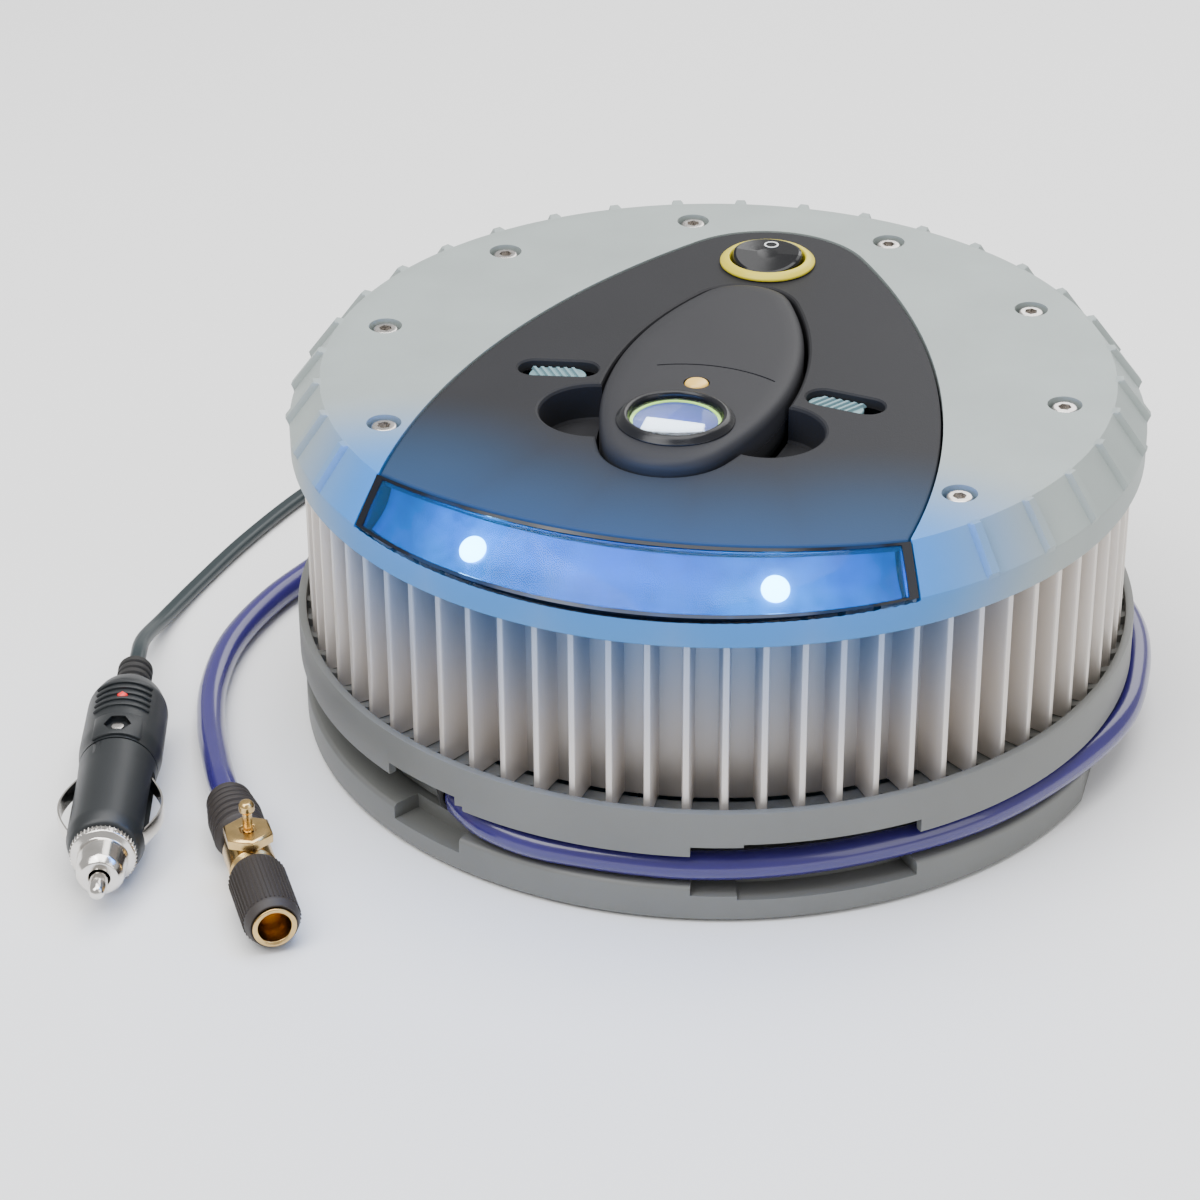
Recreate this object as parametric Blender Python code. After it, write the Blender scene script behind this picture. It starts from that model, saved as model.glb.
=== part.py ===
"""Portable 12 V tyre inflator: a drum-shaped compressor with a lift-out pressure gauge.

Run with: blender --background --python part.py
Metres, +Z up, the drum's axis on Z, the work light at the front (-Y).
"""

import math

import bmesh
import bpy
from mathutils import Matrix, Vector

# ---------------------------------------------------------------- driving sizes
FIT = 0.0004  # gap between neighbouring pieces
WALL = 0.0024  # moulded wall

RING_RADIUS = 0.118  # outside of the base tray's ring
TOP_Z = 0.104  # flat top of the cover
FLANGE_RADIUS = 0.1168  # bottom plate
FLANGE_TOP_Z = 0.011
FLANGE_FLAT_X = 0.1116  # the plate's sides are cut flat here
UNDERSIDE_Z = 0.0006
FOOT_COUNT = 3
FOOT_RADIUS = 0.010
FOOT_HEIGHT = 0.0022

GROOVE_RADIUS = 0.1065  # inner wall of the hose groove
RING_LIP_Z = 0.0212  # lower edge of the tray's ring
RING_TOP_Z = 0.0348
GROOVE_ROOF_Z = 0.0255

FIN_COUNT = 72
FIN_TIP_RADIUS = 0.1144
FIN_ROOT_RADIUS = 0.1045
FIN_WIDTH = 0.0021
LEDGE_Z = 0.0305  # ledge inside the ring, which carries the fins
FINS_BOTTOM_Z = LEDGE_Z + FIT

COVER_RADIUS = 0.1176
COVER_FLAT_RADIUS = 0.1085
SHOULDER_Z = TOP_Z - 0.0120  # lower edge of the cover's sloping shoulder
SKIRT_Z = TOP_Z - 0.0203
FINS_TOP_Z = SKIRT_Z + 0.0025  # the skirt overlaps the fins' tips
RIB_PITCH_DEG = 10
RIB_HALF_DEG = 1.3
RIB_HEIGHT = 0.0013

SCREW_CIRCLE = 0.0957
SCREW_COUNT = 8
SCREW_STEP_DEG = 36
SCREW_HEAD_RADIUS = 0.0036
SCREW_HEAD_HEIGHT = 0.0034
SCREW_SOCKET_RADIUS = 0.0017
SCREW_SHANK_RADIUS = 0.0019
SCREW_SUNK = 0.0007
COUNTERBORE_RADIUS = 0.0047

PANEL_SIDE_RADIUS = 0.2424
PANEL_SIDE_CENTRE = (-0.1722, -0.0644)
PANEL_NOSE_RADIUS = 0.030
PANEL_FRONT_RADIUS = 0.156
PANEL_FRONT_CENTRE_Y = 0.0562
PANEL_THICKNESS = 0.0032

CONTROLS_X = -0.0015  # centre line of the gauge, its recesses, the latches and the switch
GAUGE_SIDE_RADIUS = 0.1160
GAUGE_SIDE_CENTRE = (-0.0908, -0.0095)
GAUGE_TIP_RADIUS = 0.0143
GAUGE_FRONT_RADIUS = 0.0172
GAUGE_BOTTOM_Z = TOP_Z - 0.0135
GAUGE_SPLIT_Z = TOP_Z - 0.0050
GAUGE_TOP_Z = TOP_Z + 0.0023  # top surface at y = 0
GAUGE_SLOPE = -0.0150  # rise of the top per metre of y
POCKET_GAP = 0.0012
POCKET_FLOOR_Z = TOP_Z - 0.0180
FINGER_RADIUS = 0.0150
FINGER_X = 0.0238
FINGER_Y = -0.0343
FINGER_FLOOR_Z = TOP_Z - 0.0110

BEZEL_Y = -0.0405
BEZEL_BASE_RADIUS = 0.0158
BEZEL_RIM_RADIUS = 0.0136
BEZEL_HEIGHT = 0.0020
LENS_RADIUS = 0.0122
BUTTON_Y = -0.0175
BUTTON_RADIUS = 0.0033
NOZZLE_Y = 0.034  # brass air inlet under the gauge, seen when it is lifted out

SLOT_X = 0.0401
SLOT_Y = FINGER_Y + FINGER_RADIUS + 0.0063
SLOT_LENGTH = 0.0222
SLOT_WIDTH = 0.0094
SLOT_TILT_DEG = 10
LATCH_LENGTH = SLOT_LENGTH - 0.0062
LATCH_RIBS = 6
LEFT_LATCH_REST = 0.0030  # how far the left latch has been slid outwards

SWITCH_Y = 0.0676
SWITCH_RADIUS = 0.0138
ROCKER_RADIUS = 0.0101
ROCKER_TILT_DEG = 12

LIGHT_HALF_DEG = 40
LIGHT_FRAME_DEPTH = 0.0058
LIGHT_STEPS = 16
LED_HALF_DEG = 21.5  # the two lamps sit this far either side of the middle

GEAR_MODULE = 0.0015
PINION_TEETH = 8
CRANK_TEETH = 32
FAN_BLADES = 7
MOTOR_Y = 0.022
AXLE_Z = 0.044
MOTOR_RADIUS = 0.020
MOTOR_REAR_X = -0.078
MOTOR_FRONT_X = -0.0205
CRANK_THROW = 0.008
ROD_LENGTH = 0.036
BORE_RADIUS = 0.012
CYLINDER_RADIUS = 0.0148
CYLINDER_START_Y = -0.0345
CYLINDER_END_Y = -0.0590

HOSE_RADIUS = 0.0040
CORD_RADIUS = 0.0025
COIL_CENTRE = (-0.062, 0.172)
COIL_INNER_RADIUS = 0.0193
COIL_OUTER_RADIUS = 0.0397
COIL_TOP_Z = 0.0206

PLUG_START = (-0.1575, -0.0505)
PLUG_HEADING_DEG = -73.3
PLUG_AXIS_Z = 0.0117
PLUG_BARREL_RADIUS = 0.0105
CHUCK_START = (-0.1105, -0.1019)
CHUCK_HEADING_DEG = -58.3
CHUCK_AXIS_Z = 0.0080

# Hose route: angle round the drum in degrees, radius and height, then free points.
HOSE_EXIT_DEG = -116  # where it leaves the groove's wall, and its slant there
HOSE_SLANT_DEG = 50
HOSE_IN_GROOVE = [
    (-107, 0.1136, 0.0163),
    (-97, 0.1136, 0.0157),
    (-78, 0.1128, 0.0156),
    (-58, 0.1118, 0.0156),
    (-36, 0.1132, 0.0156),
    (-12, 0.1172, 0.0156),
    (4, 0.1196, 0.0156),
    (22, 0.1206, 0.0156),
    (45, 0.1180, 0.0156),
    (70, 0.1145, 0.0156),
    (95, 0.1135, 0.0156),
    (115, 0.1145, 0.0156),
    (130, 0.1195, 0.0156),
    (142, 0.1270, 0.0140),
]
HOSE_FREE = [
    (-0.1185, 0.0560, 0.0090),
    (-0.1295, 0.0340, 0.0048),
    (-0.1380, 0.0080, 0.0042),
    (-0.1408, -0.0180, 0.0042),
    (-0.1375, -0.0420, 0.0042),
    (-0.1300, -0.0640, 0.0050),
    (-0.1205, -0.0840, 0.0068),
]
CORD_TO_COIL = [
    (-0.0305, 0.1435, 0.0044),
    (-0.0224, 0.1532, 0.0030),
    (-0.0211, 0.1572, 0.0028),
]
CORD_TO_PLUG = [
    (-0.1003, 0.1904, 0.0027),
    (-0.1020, 0.1867, 0.0027),
    (-0.1115, 0.1660, 0.0027),
    (-0.1290, 0.1340, 0.0027),
    (-0.1440, 0.1000, 0.0027),
    (-0.1530, 0.0740, 0.0027),
    (-0.1600, 0.0430, 0.0027),
    (-0.1640, 0.0160, 0.0027),
    (-0.1655, -0.0100, 0.0040),
    (-0.1635, -0.0300, 0.0088),
]

COLOURS = {
    "grey_shell": (0.44, 0.47, 0.46, 0.55, 0.0),
    "dark_grey_shell": (0.17, 0.18, 0.17, 0.55, 0.0),
    "silver_fins": (0.56, 0.53, 0.50, 0.42, 0.35),
    "black_plastic": (0.025, 0.025, 0.028, 0.45, 0.0),
    "rubber": (0.02, 0.02, 0.02, 0.8, 0.0),
    "yellow": (0.72, 0.60, 0.06, 0.4, 0.0),
    "steel": (0.62, 0.60, 0.57, 0.28, 1.0),
    "brass": (0.72, 0.50, 0.20, 0.3, 1.0),
    "clear": (0.80, 0.90, 1.00, 0.05, 0.0),
    "led": (0.90, 0.95, 1.00, 0.3, 0.0),
    "chrome": (0.8, 0.8, 0.82, 0.08, 1.0),
    "blue_hose": (0.08, 0.07, 0.36, 0.3, 0.0),
    "cord": (0.012, 0.02, 0.022, 0.5, 0.0),
    "blue_grey": (0.26, 0.40, 0.45, 0.45, 0.0),
    "green_board": (0.02, 0.16, 0.06, 0.5, 0.0),
    "red": (0.5, 0.01, 0.01, 0.3, 0.0),
}


# ---------------------------------------------------------------- small tools
def polar(radius, degrees, z=0.0):
    angle = math.radians(degrees)
    return Vector((radius * math.cos(angle), radius * math.sin(angle), z))


def arc(centre, radius, start_deg, end_deg, steps):
    points = []
    for i in range(steps + 1):
        angle = math.radians(start_deg + (end_deg - start_deg) * i / steps)
        points.append((centre[0] + radius * math.cos(angle), centre[1] + radius * math.sin(angle)))
    return points


def circle(radius, steps=24, centre=(0.0, 0.0)):
    return arc(centre, radius, 0, 360, steps)[:-1]


def material(name):
    made = bpy.data.materials.get(name)
    if made is None:
        made = bpy.data.materials.new(name)
        made.use_nodes = True
        red, green, blue, roughness, metallic = COLOURS[name]
        shader = made.node_tree.nodes["Principled BSDF"]
        shader.inputs["Base Color"].default_value = (red, green, blue, 1)
        shader.inputs["Roughness"].default_value = roughness
        shader.inputs["Metallic"].default_value = metallic
    return made


def as_object(name, bm, colour=None, at=(0, 0, 0), turn=None):
    """Makes an object from a bmesh; its origin is moved to the point `at`."""
    if turn is not None:
        bmesh.ops.transform(bm, matrix=turn, verts=bm.verts)
    bmesh.ops.recalc_face_normals(bm, faces=bm.faces)
    bmesh.ops.translate(bm, vec=-Vector(at), verts=bm.verts)
    mesh = bpy.data.meshes.new(name)
    bm.to_mesh(mesh)
    bm.free()
    mesh.set_sharp_from_angle(angle=math.radians(35))
    obj = bpy.data.objects.new(name, mesh)
    bpy.context.scene.collection.objects.link(obj)
    obj.location = at
    if colour is None:
        obj.hide_render = True
        obj.display_type = "WIRE"
    else:
        mesh.materials.append(material(colour))
    return obj


def loft(loops, bm=None):
    """A closed solid through loops of equal length, capped at both ends."""
    bm = bm or bmesh.new()
    rows = [[bm.verts.new(p) for p in loop] for loop in loops]
    count = len(rows[0])
    for low, high in zip(rows, rows[1:]):
        for i in range(count):
            j = (i + 1) % count
            bm.faces.new((low[i], low[j], high[j], high[i]))
    bm.faces.new(reversed(rows[0]))
    bm.faces.new(rows[-1])
    return bm


def prism(outline, low, high, bm=None):
    return loft([[(x, y, z) for x, y in outline] for z in (low, high)], bm)


def tube_solid(outer, inner, low, high):
    """A prism with a hole: two outlines of equal length."""
    return ring_of_sections(
        [[(*o, low), (*o, high), (*i, high), (*i, low)] for o, i in zip(outer, inner)]
    )


def ring_of_sections(sections, bm=None):
    """A closed ring swept through sections of equal length."""
    bm = bm or bmesh.new()
    rows = [[bm.verts.new(p) for p in section] for section in sections]
    count = len(rows[0])
    for k, row in enumerate(rows):
        after = rows[(k + 1) % len(rows)]
        for i in range(count):
            j = (i + 1) % count
            bm.faces.new((row[i], row[j], after[j], after[i]))
    return bm


def lathe(profile, steps=48, bm=None):
    """Turns a profile of (radius, z). It starts and ends on the axis, or closes on itself."""
    if profile[0][0] > 0:
        sections = [
            [polar(radius, 360 * k / steps, z) for radius, z in profile] for k in range(steps)
        ]
        return ring_of_sections(sections, bm)
    bm = bm or bmesh.new()
    first = bm.verts.new((0, 0, profile[0][1]))
    last = bm.verts.new((0, 0, profile[-1][1]))
    rows = [
        [bm.verts.new(polar(radius, 360 * k / steps, z)) for k in range(steps)]
        for radius, z in profile[1:-1]
    ]
    for k in range(steps):
        j = (k + 1) % steps
        bm.faces.new((first, rows[0][j], rows[0][k]))
        bm.faces.new((last, rows[-1][k], rows[-1][j]))
        for low, high in zip(rows, rows[1:]):
            bm.faces.new((low[k], low[j], high[j], high[k]))
    return bm


def box(low, high, bm=None):
    outline = [(low[0], low[1]), (high[0], low[1]), (high[0], high[1]), (low[0], high[1])]
    return prism(outline, low[2], high[2], bm)


def boolean(target, operation, *tools):
    for tool in tools:
        modifier = target.modifiers.new(operation.lower(), "BOOLEAN")
        modifier.operation = operation
        modifier.solver = "EXACT"
        modifier.object = tool
        tool.hide_render = True
        tool.display_type = "WIRE"


def cut(target, *tools):
    boolean(target, "DIFFERENCE", *tools)


def join(target, *tools):
    boolean(target, "UNION", *tools)


def along(start, heading_deg, axis_z):
    """Matrix that takes +Z to a level heading, from a start point."""
    heading = math.radians(heading_deg)
    forward = Vector((math.cos(heading), math.sin(heading), 0))
    side = Vector((-forward.y, forward.x, 0))
    matrix = Matrix((side, Vector((0, 0, 1)), forward)).transposed()
    return Matrix.Translation((start[0], start[1], axis_z)) @ matrix.to_4x4()


def smooth_route(points, spacing):
    """Points about `spacing` apart on a Catmull-Rom curve through the route's points.

    The first and last spans stay straight, so that both ends are square to their fittings.
    """
    points = [Vector(p) for p in points]
    dense = []
    for p0, p1, p2, p3 in zip(points, points[1:], points[2:], points[3:]):
        for k in range(24):
            t = k / 24
            dense.append(
                0.5
                * (
                    2 * p1
                    + (p2 - p0) * t
                    + (2 * p0 - 5 * p1 + 4 * p2 - p3) * t**2
                    + (3 * p1 - p0 - 3 * p2 + p3) * t**3
                )
            )
    dense.append(points[-2])
    total = sum((b - a).length for a, b in zip(dense, dense[1:]))
    steps = max(1, round(total / spacing))
    route, walked, target = [points[0], dense[0]], 0.0, total / steps
    for a, b in zip(dense, dense[1:]):
        length = (b - a).length
        while walked + length >= target - 1e-9 and len(route) < steps + 1:
            route.append(a.lerp(b, (target - walked) / length))
            target += total / steps
        walked += length
    return [*route[: steps + 1], points[-2], points[-1]]


def cord_object(name, points, radius, colour, spacing=2.6):
    route = smooth_route(points, spacing * 2 * radius)
    curve = bpy.data.curves.new(name, "CURVE")
    curve.dimensions = "3D"
    curve.bevel_depth = radius
    curve.bevel_resolution = 2
    curve.use_fill_caps = True
    spline = curve.splines.new("POLY")
    spline.points.add(len(route) - 1)
    for point, place in zip(spline.points, route):
        point.co = (*place, 1)
    curve.materials.append(material(colour))
    obj = bpy.data.objects.new(name, curve)
    bpy.context.scene.collection.objects.link(obj)
    return obj


# ---------------------------------------------------------------- outlines
def mirrored(half):
    """A closed outline from its right half, which runs from the front to the back."""
    return half + [(-x, y) for x, y in reversed(half[1:-1])]


def nose_centre(side_centre, side_radius, nose_radius, sign):
    """Centre on the y axis of an arc that runs smoothly into the side arc."""
    reach = side_radius - nose_radius
    return (0.0, side_centre[1] + sign * math.sqrt(reach**2 - side_centre[0] ** 2))


def direction(start, end):
    return math.degrees(math.atan2(end[1] - start[1], end[0] - start[0]))


def circles_meet(c0, r0, c1, r1):
    """The crossing of two circles that has the larger x."""
    c0, c1 = Vector(c0), Vector(c1)
    gap = (c1 - c0).length
    toward = (c1 - c0) / gap
    reach = (r0**2 - r1**2 + gap**2) / (2 * gap)
    height = math.sqrt(r0**2 - reach**2)
    normal = Vector((-toward.y, toward.x))
    return max((c0 + toward * reach + normal * s * height for s in (1, -1)), key=lambda p: p.x)


def panel_outline(grow=0.0, steps=8):
    side_radius = PANEL_SIDE_RADIUS
    nose = nose_centre(PANEL_SIDE_CENTRE, side_radius, PANEL_NOSE_RADIUS, 1)
    front = (0.0, PANEL_FRONT_CENTRE_Y)
    corner = circles_meet(
        PANEL_SIDE_CENTRE, side_radius + grow, front, PANEL_FRONT_RADIUS + grow
    )
    turn = direction(PANEL_SIDE_CENTRE, nose)
    front_arc = arc(front, PANEL_FRONT_RADIUS + grow, -90, direction(front, corner), steps)
    side_arc = arc(
        PANEL_SIDE_CENTRE,
        side_radius + grow,
        direction(PANEL_SIDE_CENTRE, corner),
        turn,
        steps,
    )
    nose_arc = arc(nose, PANEL_NOSE_RADIUS + grow, turn, 90, steps)
    return mirrored(front_arc + side_arc[1:] + nose_arc[1:])


def gauge_outline(grow=0.0, steps=6):
    centre, radius = GAUGE_SIDE_CENTRE, GAUGE_SIDE_RADIUS
    front = nose_centre(centre, radius, GAUGE_FRONT_RADIUS, -1)
    tip = nose_centre(centre, radius, GAUGE_TIP_RADIUS, 1)
    front_arc = arc(front, GAUGE_FRONT_RADIUS + grow, -90, direction(centre, front), steps)
    side_arc = arc(
        centre, radius + grow, direction(centre, front), direction(centre, tip), steps
    )
    tip_arc = arc(tip, GAUGE_TIP_RADIUS + grow, direction(centre, tip), 90, steps)
    outline = mirrored(front_arc + side_arc[1:] + tip_arc[1:])
    return [(x + CONTROLS_X, y) for x, y in outline]


def stadium(length, width, steps=5):
    reach = (length - width) / 2
    return arc((reach, 0), width / 2, -90, 90, steps) + arc((-reach, 0), width / 2, 90, 270, steps)


def gear_outline(teeth, phase_deg):
    """Straight-sided teeth; a tooth points along the phase angle."""
    pitch = GEAR_MODULE * teeth / 2
    root, tip = pitch - 1.15 * GEAR_MODULE, pitch + 0.8 * GEAR_MODULE
    step = 360 / teeth
    points = []
    for k in range(teeth):
        middle = phase_deg + k * step
        for radius, share in ((root, -0.30), (tip, -0.11), (tip, 0.11), (root, 0.30)):
            points.append(tuple(polar(radius, middle + share * step))[:2])
    return points


# ---------------------------------------------------------------- base
def make_base():
    edge = 0.0012
    wall_in = FLANGE_RADIUS - 0.014
    plate_z = UNDERSIDE_Z + WALL
    plate = as_object(
        "base_plate",
        lathe(
            [
                (0, UNDERSIDE_Z),
                (FLANGE_RADIUS - edge, UNDERSIDE_Z),
                (FLANGE_RADIUS, UNDERSIDE_Z + edge),
                (FLANGE_RADIUS, FLANGE_TOP_Z - edge),
                (FLANGE_RADIUS - edge, FLANGE_TOP_Z),
                (wall_in, FLANGE_TOP_Z),
                (wall_in, plate_z),
                (0, plate_z),
            ],
            60,
        ),
        "dark_grey_shell",
    )
    reach = 2 * FLANGE_RADIUS
    for side in (-1, 1):
        flat = sorted((side * FLANGE_FLAT_X, side * reach))
        cut(plate, as_object("flat", box((flat[0], -reach, -0.01), (flat[1], reach, 0.03))))
    posts = bmesh.new()
    holes = bmesh.new()
    for k, centre in enumerate(base_screw_places()):
        prism(circle(0.0065, 10, centre), plate_z - 0.0005, FLANGE_TOP_Z, posts)
        prism(circle(SCREW_SHANK_RADIUS + FIT, 10, centre), -0.01, 0.05, holes)
        make_screw(f"base_screw_{k + 1}", centre, UNDERSIDE_Z + 0.0045, -1, 0.020)
    join(plate, as_object("posts", posts))
    cut(plate, as_object("screw_holes", holes))
    recesses = bmesh.new()
    for centre in base_screw_places():
        prism(circle(COUNTERBORE_RADIUS, 12, centre), -0.01, UNDERSIDE_Z + 0.0049, recesses)
    for k in range(FOOT_COUNT):
        centre = tuple(polar(0.094, 90 + 360 * k / FOOT_COUNT))[:2]
        prism(circle(FOOT_RADIUS + FIT, 16, centre), -0.01, FOOT_HEIGHT, recesses)
        foot = prism(circle(FOOT_RADIUS, 16, centre), 0.0, FOOT_HEIGHT - 0.0004)
        as_object(f"rubber_foot_{k + 1}", foot, "rubber")
    cut(plate, as_object("recesses", recesses))
    # The cord leaves through the flange's back wall, clear of the hose groove.
    gland_hole = prism(circle(0.0044, 16), -0.020, 0.010)
    cut(plate, as_object("gland_hole", gland_hole, turn=gland_frame()))
    for start, end, low in ((-123.5, -111.5, 0.0066), (-79.3, -73.0, 0.0084), (-73.3, -49.2, 0.0072)):
        cut(plate, as_object("notch", wedge(start, end, 0.1085, 0.125, low, 0.03)))


def base_screw_places():
    return [tuple(polar(0.088, 30 + 120 * k))[:2] for k in range(3)]


def wedge(start, end, inner, outer, low, high):
    steps = max(2, round((end - start) / 6))
    outline = arc((0, 0), outer, start, end, steps) + arc((0, 0), inner, end, start, steps)
    return prism(outline, low, high)


def make_screw(name, centre, head_z, up, length):
    """A socket-head screw; head_z is the head's seat, up = 1 points the head up."""
    top = head_z + up * SCREW_HEAD_HEIGHT
    socket = top - up * 0.0019
    steps = (
        (SCREW_SHANK_RADIUS, head_z - up * length),
        (SCREW_SHANK_RADIUS, head_z),
        (SCREW_HEAD_RADIUS, head_z),
        (SCREW_HEAD_RADIUS, top),
        (SCREW_SOCKET_RADIUS, top),
        (SCREW_SOCKET_RADIUS, socket),
    )
    loops = [[(x, y, z) for x, y in circle(radius, 12, centre)] for radius, z in steps]
    as_object(name, loft(loops), "steel")


def make_tray():
    floor = FLANGE_TOP_Z + FIT
    roof_top = GROOVE_ROOF_Z + WALL
    ring_in = RING_RADIUS - WALL
    tray = as_object(
        "base_tray",
        lathe(
            [
                (0, floor),
                (GROOVE_RADIUS, floor),
                (GROOVE_RADIUS, GROOVE_ROOF_Z),
                (ring_in, GROOVE_ROOF_Z),
                (ring_in, RING_LIP_Z),
                (RING_RADIUS, RING_LIP_Z),
                (RING_RADIUS, RING_TOP_Z),
                (ring_in, RING_TOP_Z),
                (ring_in, LEDGE_Z),
                (FIN_ROOT_RADIUS + 0.001, LEDGE_Z),
                (GROOVE_RADIUS - WALL, roof_top),
                (GROOVE_RADIUS - WALL, floor + WALL),
                (0, floor + WALL),
            ],
            60,
        ),
        "dark_grey_shell",
    )
    posts = bmesh.new()
    holes = bmesh.new()
    for centre in base_screw_places():
        prism(circle(0.005, 10, centre), floor + WALL - 0.0005, 0.0275, posts)
        prism(circle(SCREW_SHANK_RADIUS + FIT, 10, centre), -0.01, 0.0262, holes)
    join(tray, as_object("tray_posts", posts))
    cut(tray, as_object("tray_holes", holes))
    for start, end, high in ((-123.5, -111.5, 0.0250), (-79.3, -72.3, 0.0244), (-72.6, -49.2, 0.0253)):
        cut(tray, as_object("lip_notch", wedge(start, end, 0.1120, 0.125, 0.0, high)))
    grommet_hole = prism(circle(0.0061, 16), -0.020, 0.016)
    cut(tray, as_object("grommet_hole", grommet_hole, turn=grommet_frame()))
    grommet = lathe(
        [(0.0025, -0.0060), (0.0025, 0.0016), (0.0054, 0.0016), (0.0054, -0.0060)],
        16,
    )
    as_object("hose_grommet", grommet, "rubber", turn=grommet_frame())


def grommet_frame():
    """+Z leaves the groove's inner wall, slanted along the groove."""
    place = polar(GROOVE_RADIUS, HOSE_EXIT_DEG, 0.0168)
    return along(place, HOSE_EXIT_DEG + HOSE_SLANT_DEG, place.z)


def gland_frame():
    place = polar(FLANGE_RADIUS, 104, 0.0058)
    return along(place, 104, place.z)


# ---------------------------------------------------------------- finned housing and cover
def make_housing():
    inner = FIN_ROOT_RADIUS - WALL
    half = math.degrees(FIN_WIDTH / 2 / FIN_TIP_RADIUS)
    sections = []
    for k in range(FIN_COUNT):
        middle = 360 / FIN_COUNT * k
        for offset, radius in (
            (-half * 1.25, FIN_ROOT_RADIUS),
            (-half, FIN_TIP_RADIUS),
            (half, FIN_TIP_RADIUS),
            (half * 1.25, FIN_ROOT_RADIUS),
        ):
            angle = middle + offset
            sections.append(
                [
                    polar(inner, angle, FINS_BOTTOM_Z),
                    polar(radius, angle, FINS_BOTTOM_Z),
                    polar(radius, angle, FINS_TOP_Z),
                    polar(inner, angle, FINS_TOP_Z),
                ]
            )
    housing = as_object("finned_housing", ring_of_sections(sections), "silver_fins")
    posts = bmesh.new()
    holes = bmesh.new()
    for centre in cover_screw_places():
        outward = Vector(centre).normalized()
        middle = Vector(centre) + outward * 0.0022
        prism(circle(0.0058, 8, tuple(middle)), 0.066, TOP_Z - 0.0105, posts)
        prism(circle(SCREW_SHANK_RADIUS + FIT, 10, centre), 0.076, 0.110, holes)
    join(housing, as_object("housing_posts", posts))
    cut(housing, as_object("housing_holes", holes))


def cover_screw_places():
    first = 90 - SCREW_STEP_DEG * (SCREW_COUNT - 1) / 2
    return [tuple(polar(SCREW_CIRCLE, first + SCREW_STEP_DEG * k))[:2] for k in range(SCREW_COUNT)]


def cover_section(angle, rib):
    """The cover's section at one angle, with or without a rib on the shoulder."""
    lift = RIB_HEIGHT if rib else 0.0
    inner = COVER_RADIUS - WALL
    profile = [
        (0.030, TOP_Z),
        (COVER_FLAT_RADIUS - 0.0008, TOP_Z),
        (COVER_FLAT_RADIUS + 0.1 * lift, TOP_Z + 0.9 * lift),
        (COVER_RADIUS + 0.5 * lift, SHOULDER_Z + 0.7 * lift),
        (COVER_RADIUS, SHOULDER_Z - 0.0008),
        (COVER_RADIUS, SKIRT_Z),
        (inner, SKIRT_Z),
        (inner, SHOULDER_Z - 0.001),
        (COVER_FLAT_RADIUS - 0.0012, TOP_Z - WALL),
        (0.030, TOP_Z - WALL),
    ]
    return [polar(radius, angle, z) for radius, z in profile]


def make_cover():
    sections = []
    for k in range(360 // RIB_PITCH_DEG):
        middle = k * RIB_PITCH_DEG
        if abs((middle + 90 + 180) % 360 - 180) < LIGHT_HALF_DEG + 5:
            sections.append(cover_section(middle, False))
            continue
        for offset in (-RIB_HALF_DEG, 0, RIB_HALF_DEG):
            sections.append(cover_section(middle + offset, offset == 0))
    cover = as_object("top_cover", ring_of_sections(sections), "grey_shell")
    bosses = bmesh.new()
    holes = bmesh.new()
    sinks = bmesh.new()
    seat = TOP_Z - SCREW_SUNK - SCREW_HEAD_HEIGHT
    for k, centre in enumerate(cover_screw_places()):
        prism(circle(0.0062, 10, centre), TOP_Z - 0.0100, TOP_Z - WALL + 0.0005, bosses)
        prism(circle(SCREW_SHANK_RADIUS + FIT, 10, centre), 0.080, 0.110, holes)
        prism(circle(COUNTERBORE_RADIUS, 14, centre), seat - FIT, 0.110, sinks)
        make_screw(f"cover_screw_{k + 1}", centre, seat, 1, 0.020)
    join(cover, as_object("bosses", bosses))
    cut(cover, as_object("cover_holes", holes), as_object("cover_sinks", sinks))
    cut(cover, as_object("panel_opening", prism(panel_outline(FIT), 0.08, 0.12)))
    opening = light_slab(0.2, -0.25, 1.03, 0.015, -0.016)
    cut(cover, as_object("light_opening", opening))


# ---------------------------------------------------------------- work light
def light_point(angle, across, out):
    """A point on the light's face: across runs from the panel's edge down to the shoulder."""
    turn = math.radians(angle)
    centre_y, radius = PANEL_FRONT_CENTRE_Y, PANEL_FRONT_RADIUS
    reach = centre_y * math.sin(turn) + math.sqrt(radius**2 - (centre_y * math.cos(turn)) ** 2)
    upper = polar(reach + 0.0006, angle, TOP_Z)
    lower = polar(COVER_RADIUS, angle, SHOULDER_Z)
    slope = lower - upper
    inward = polar(1, angle + 90).cross(slope).normalized()
    return upper.lerp(lower, across) + inward * (-out if inward.z < 0 else out)


def light_slab(grow_deg, start, end, top, bottom, steps=LIGHT_STEPS):
    """A curved slab that follows the light's face between two offsets."""
    half = LIGHT_HALF_DEG + grow_deg
    sections = []
    for k in range(steps + 1):
        angle = -90 - half + 2 * half * k / steps
        sections.append(
            [
                light_point(angle, start, bottom),
                light_point(angle, end, bottom),
                light_point(angle, end, top),
                light_point(angle, start, top),
            ]
        )
    return loft(sections)


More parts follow.
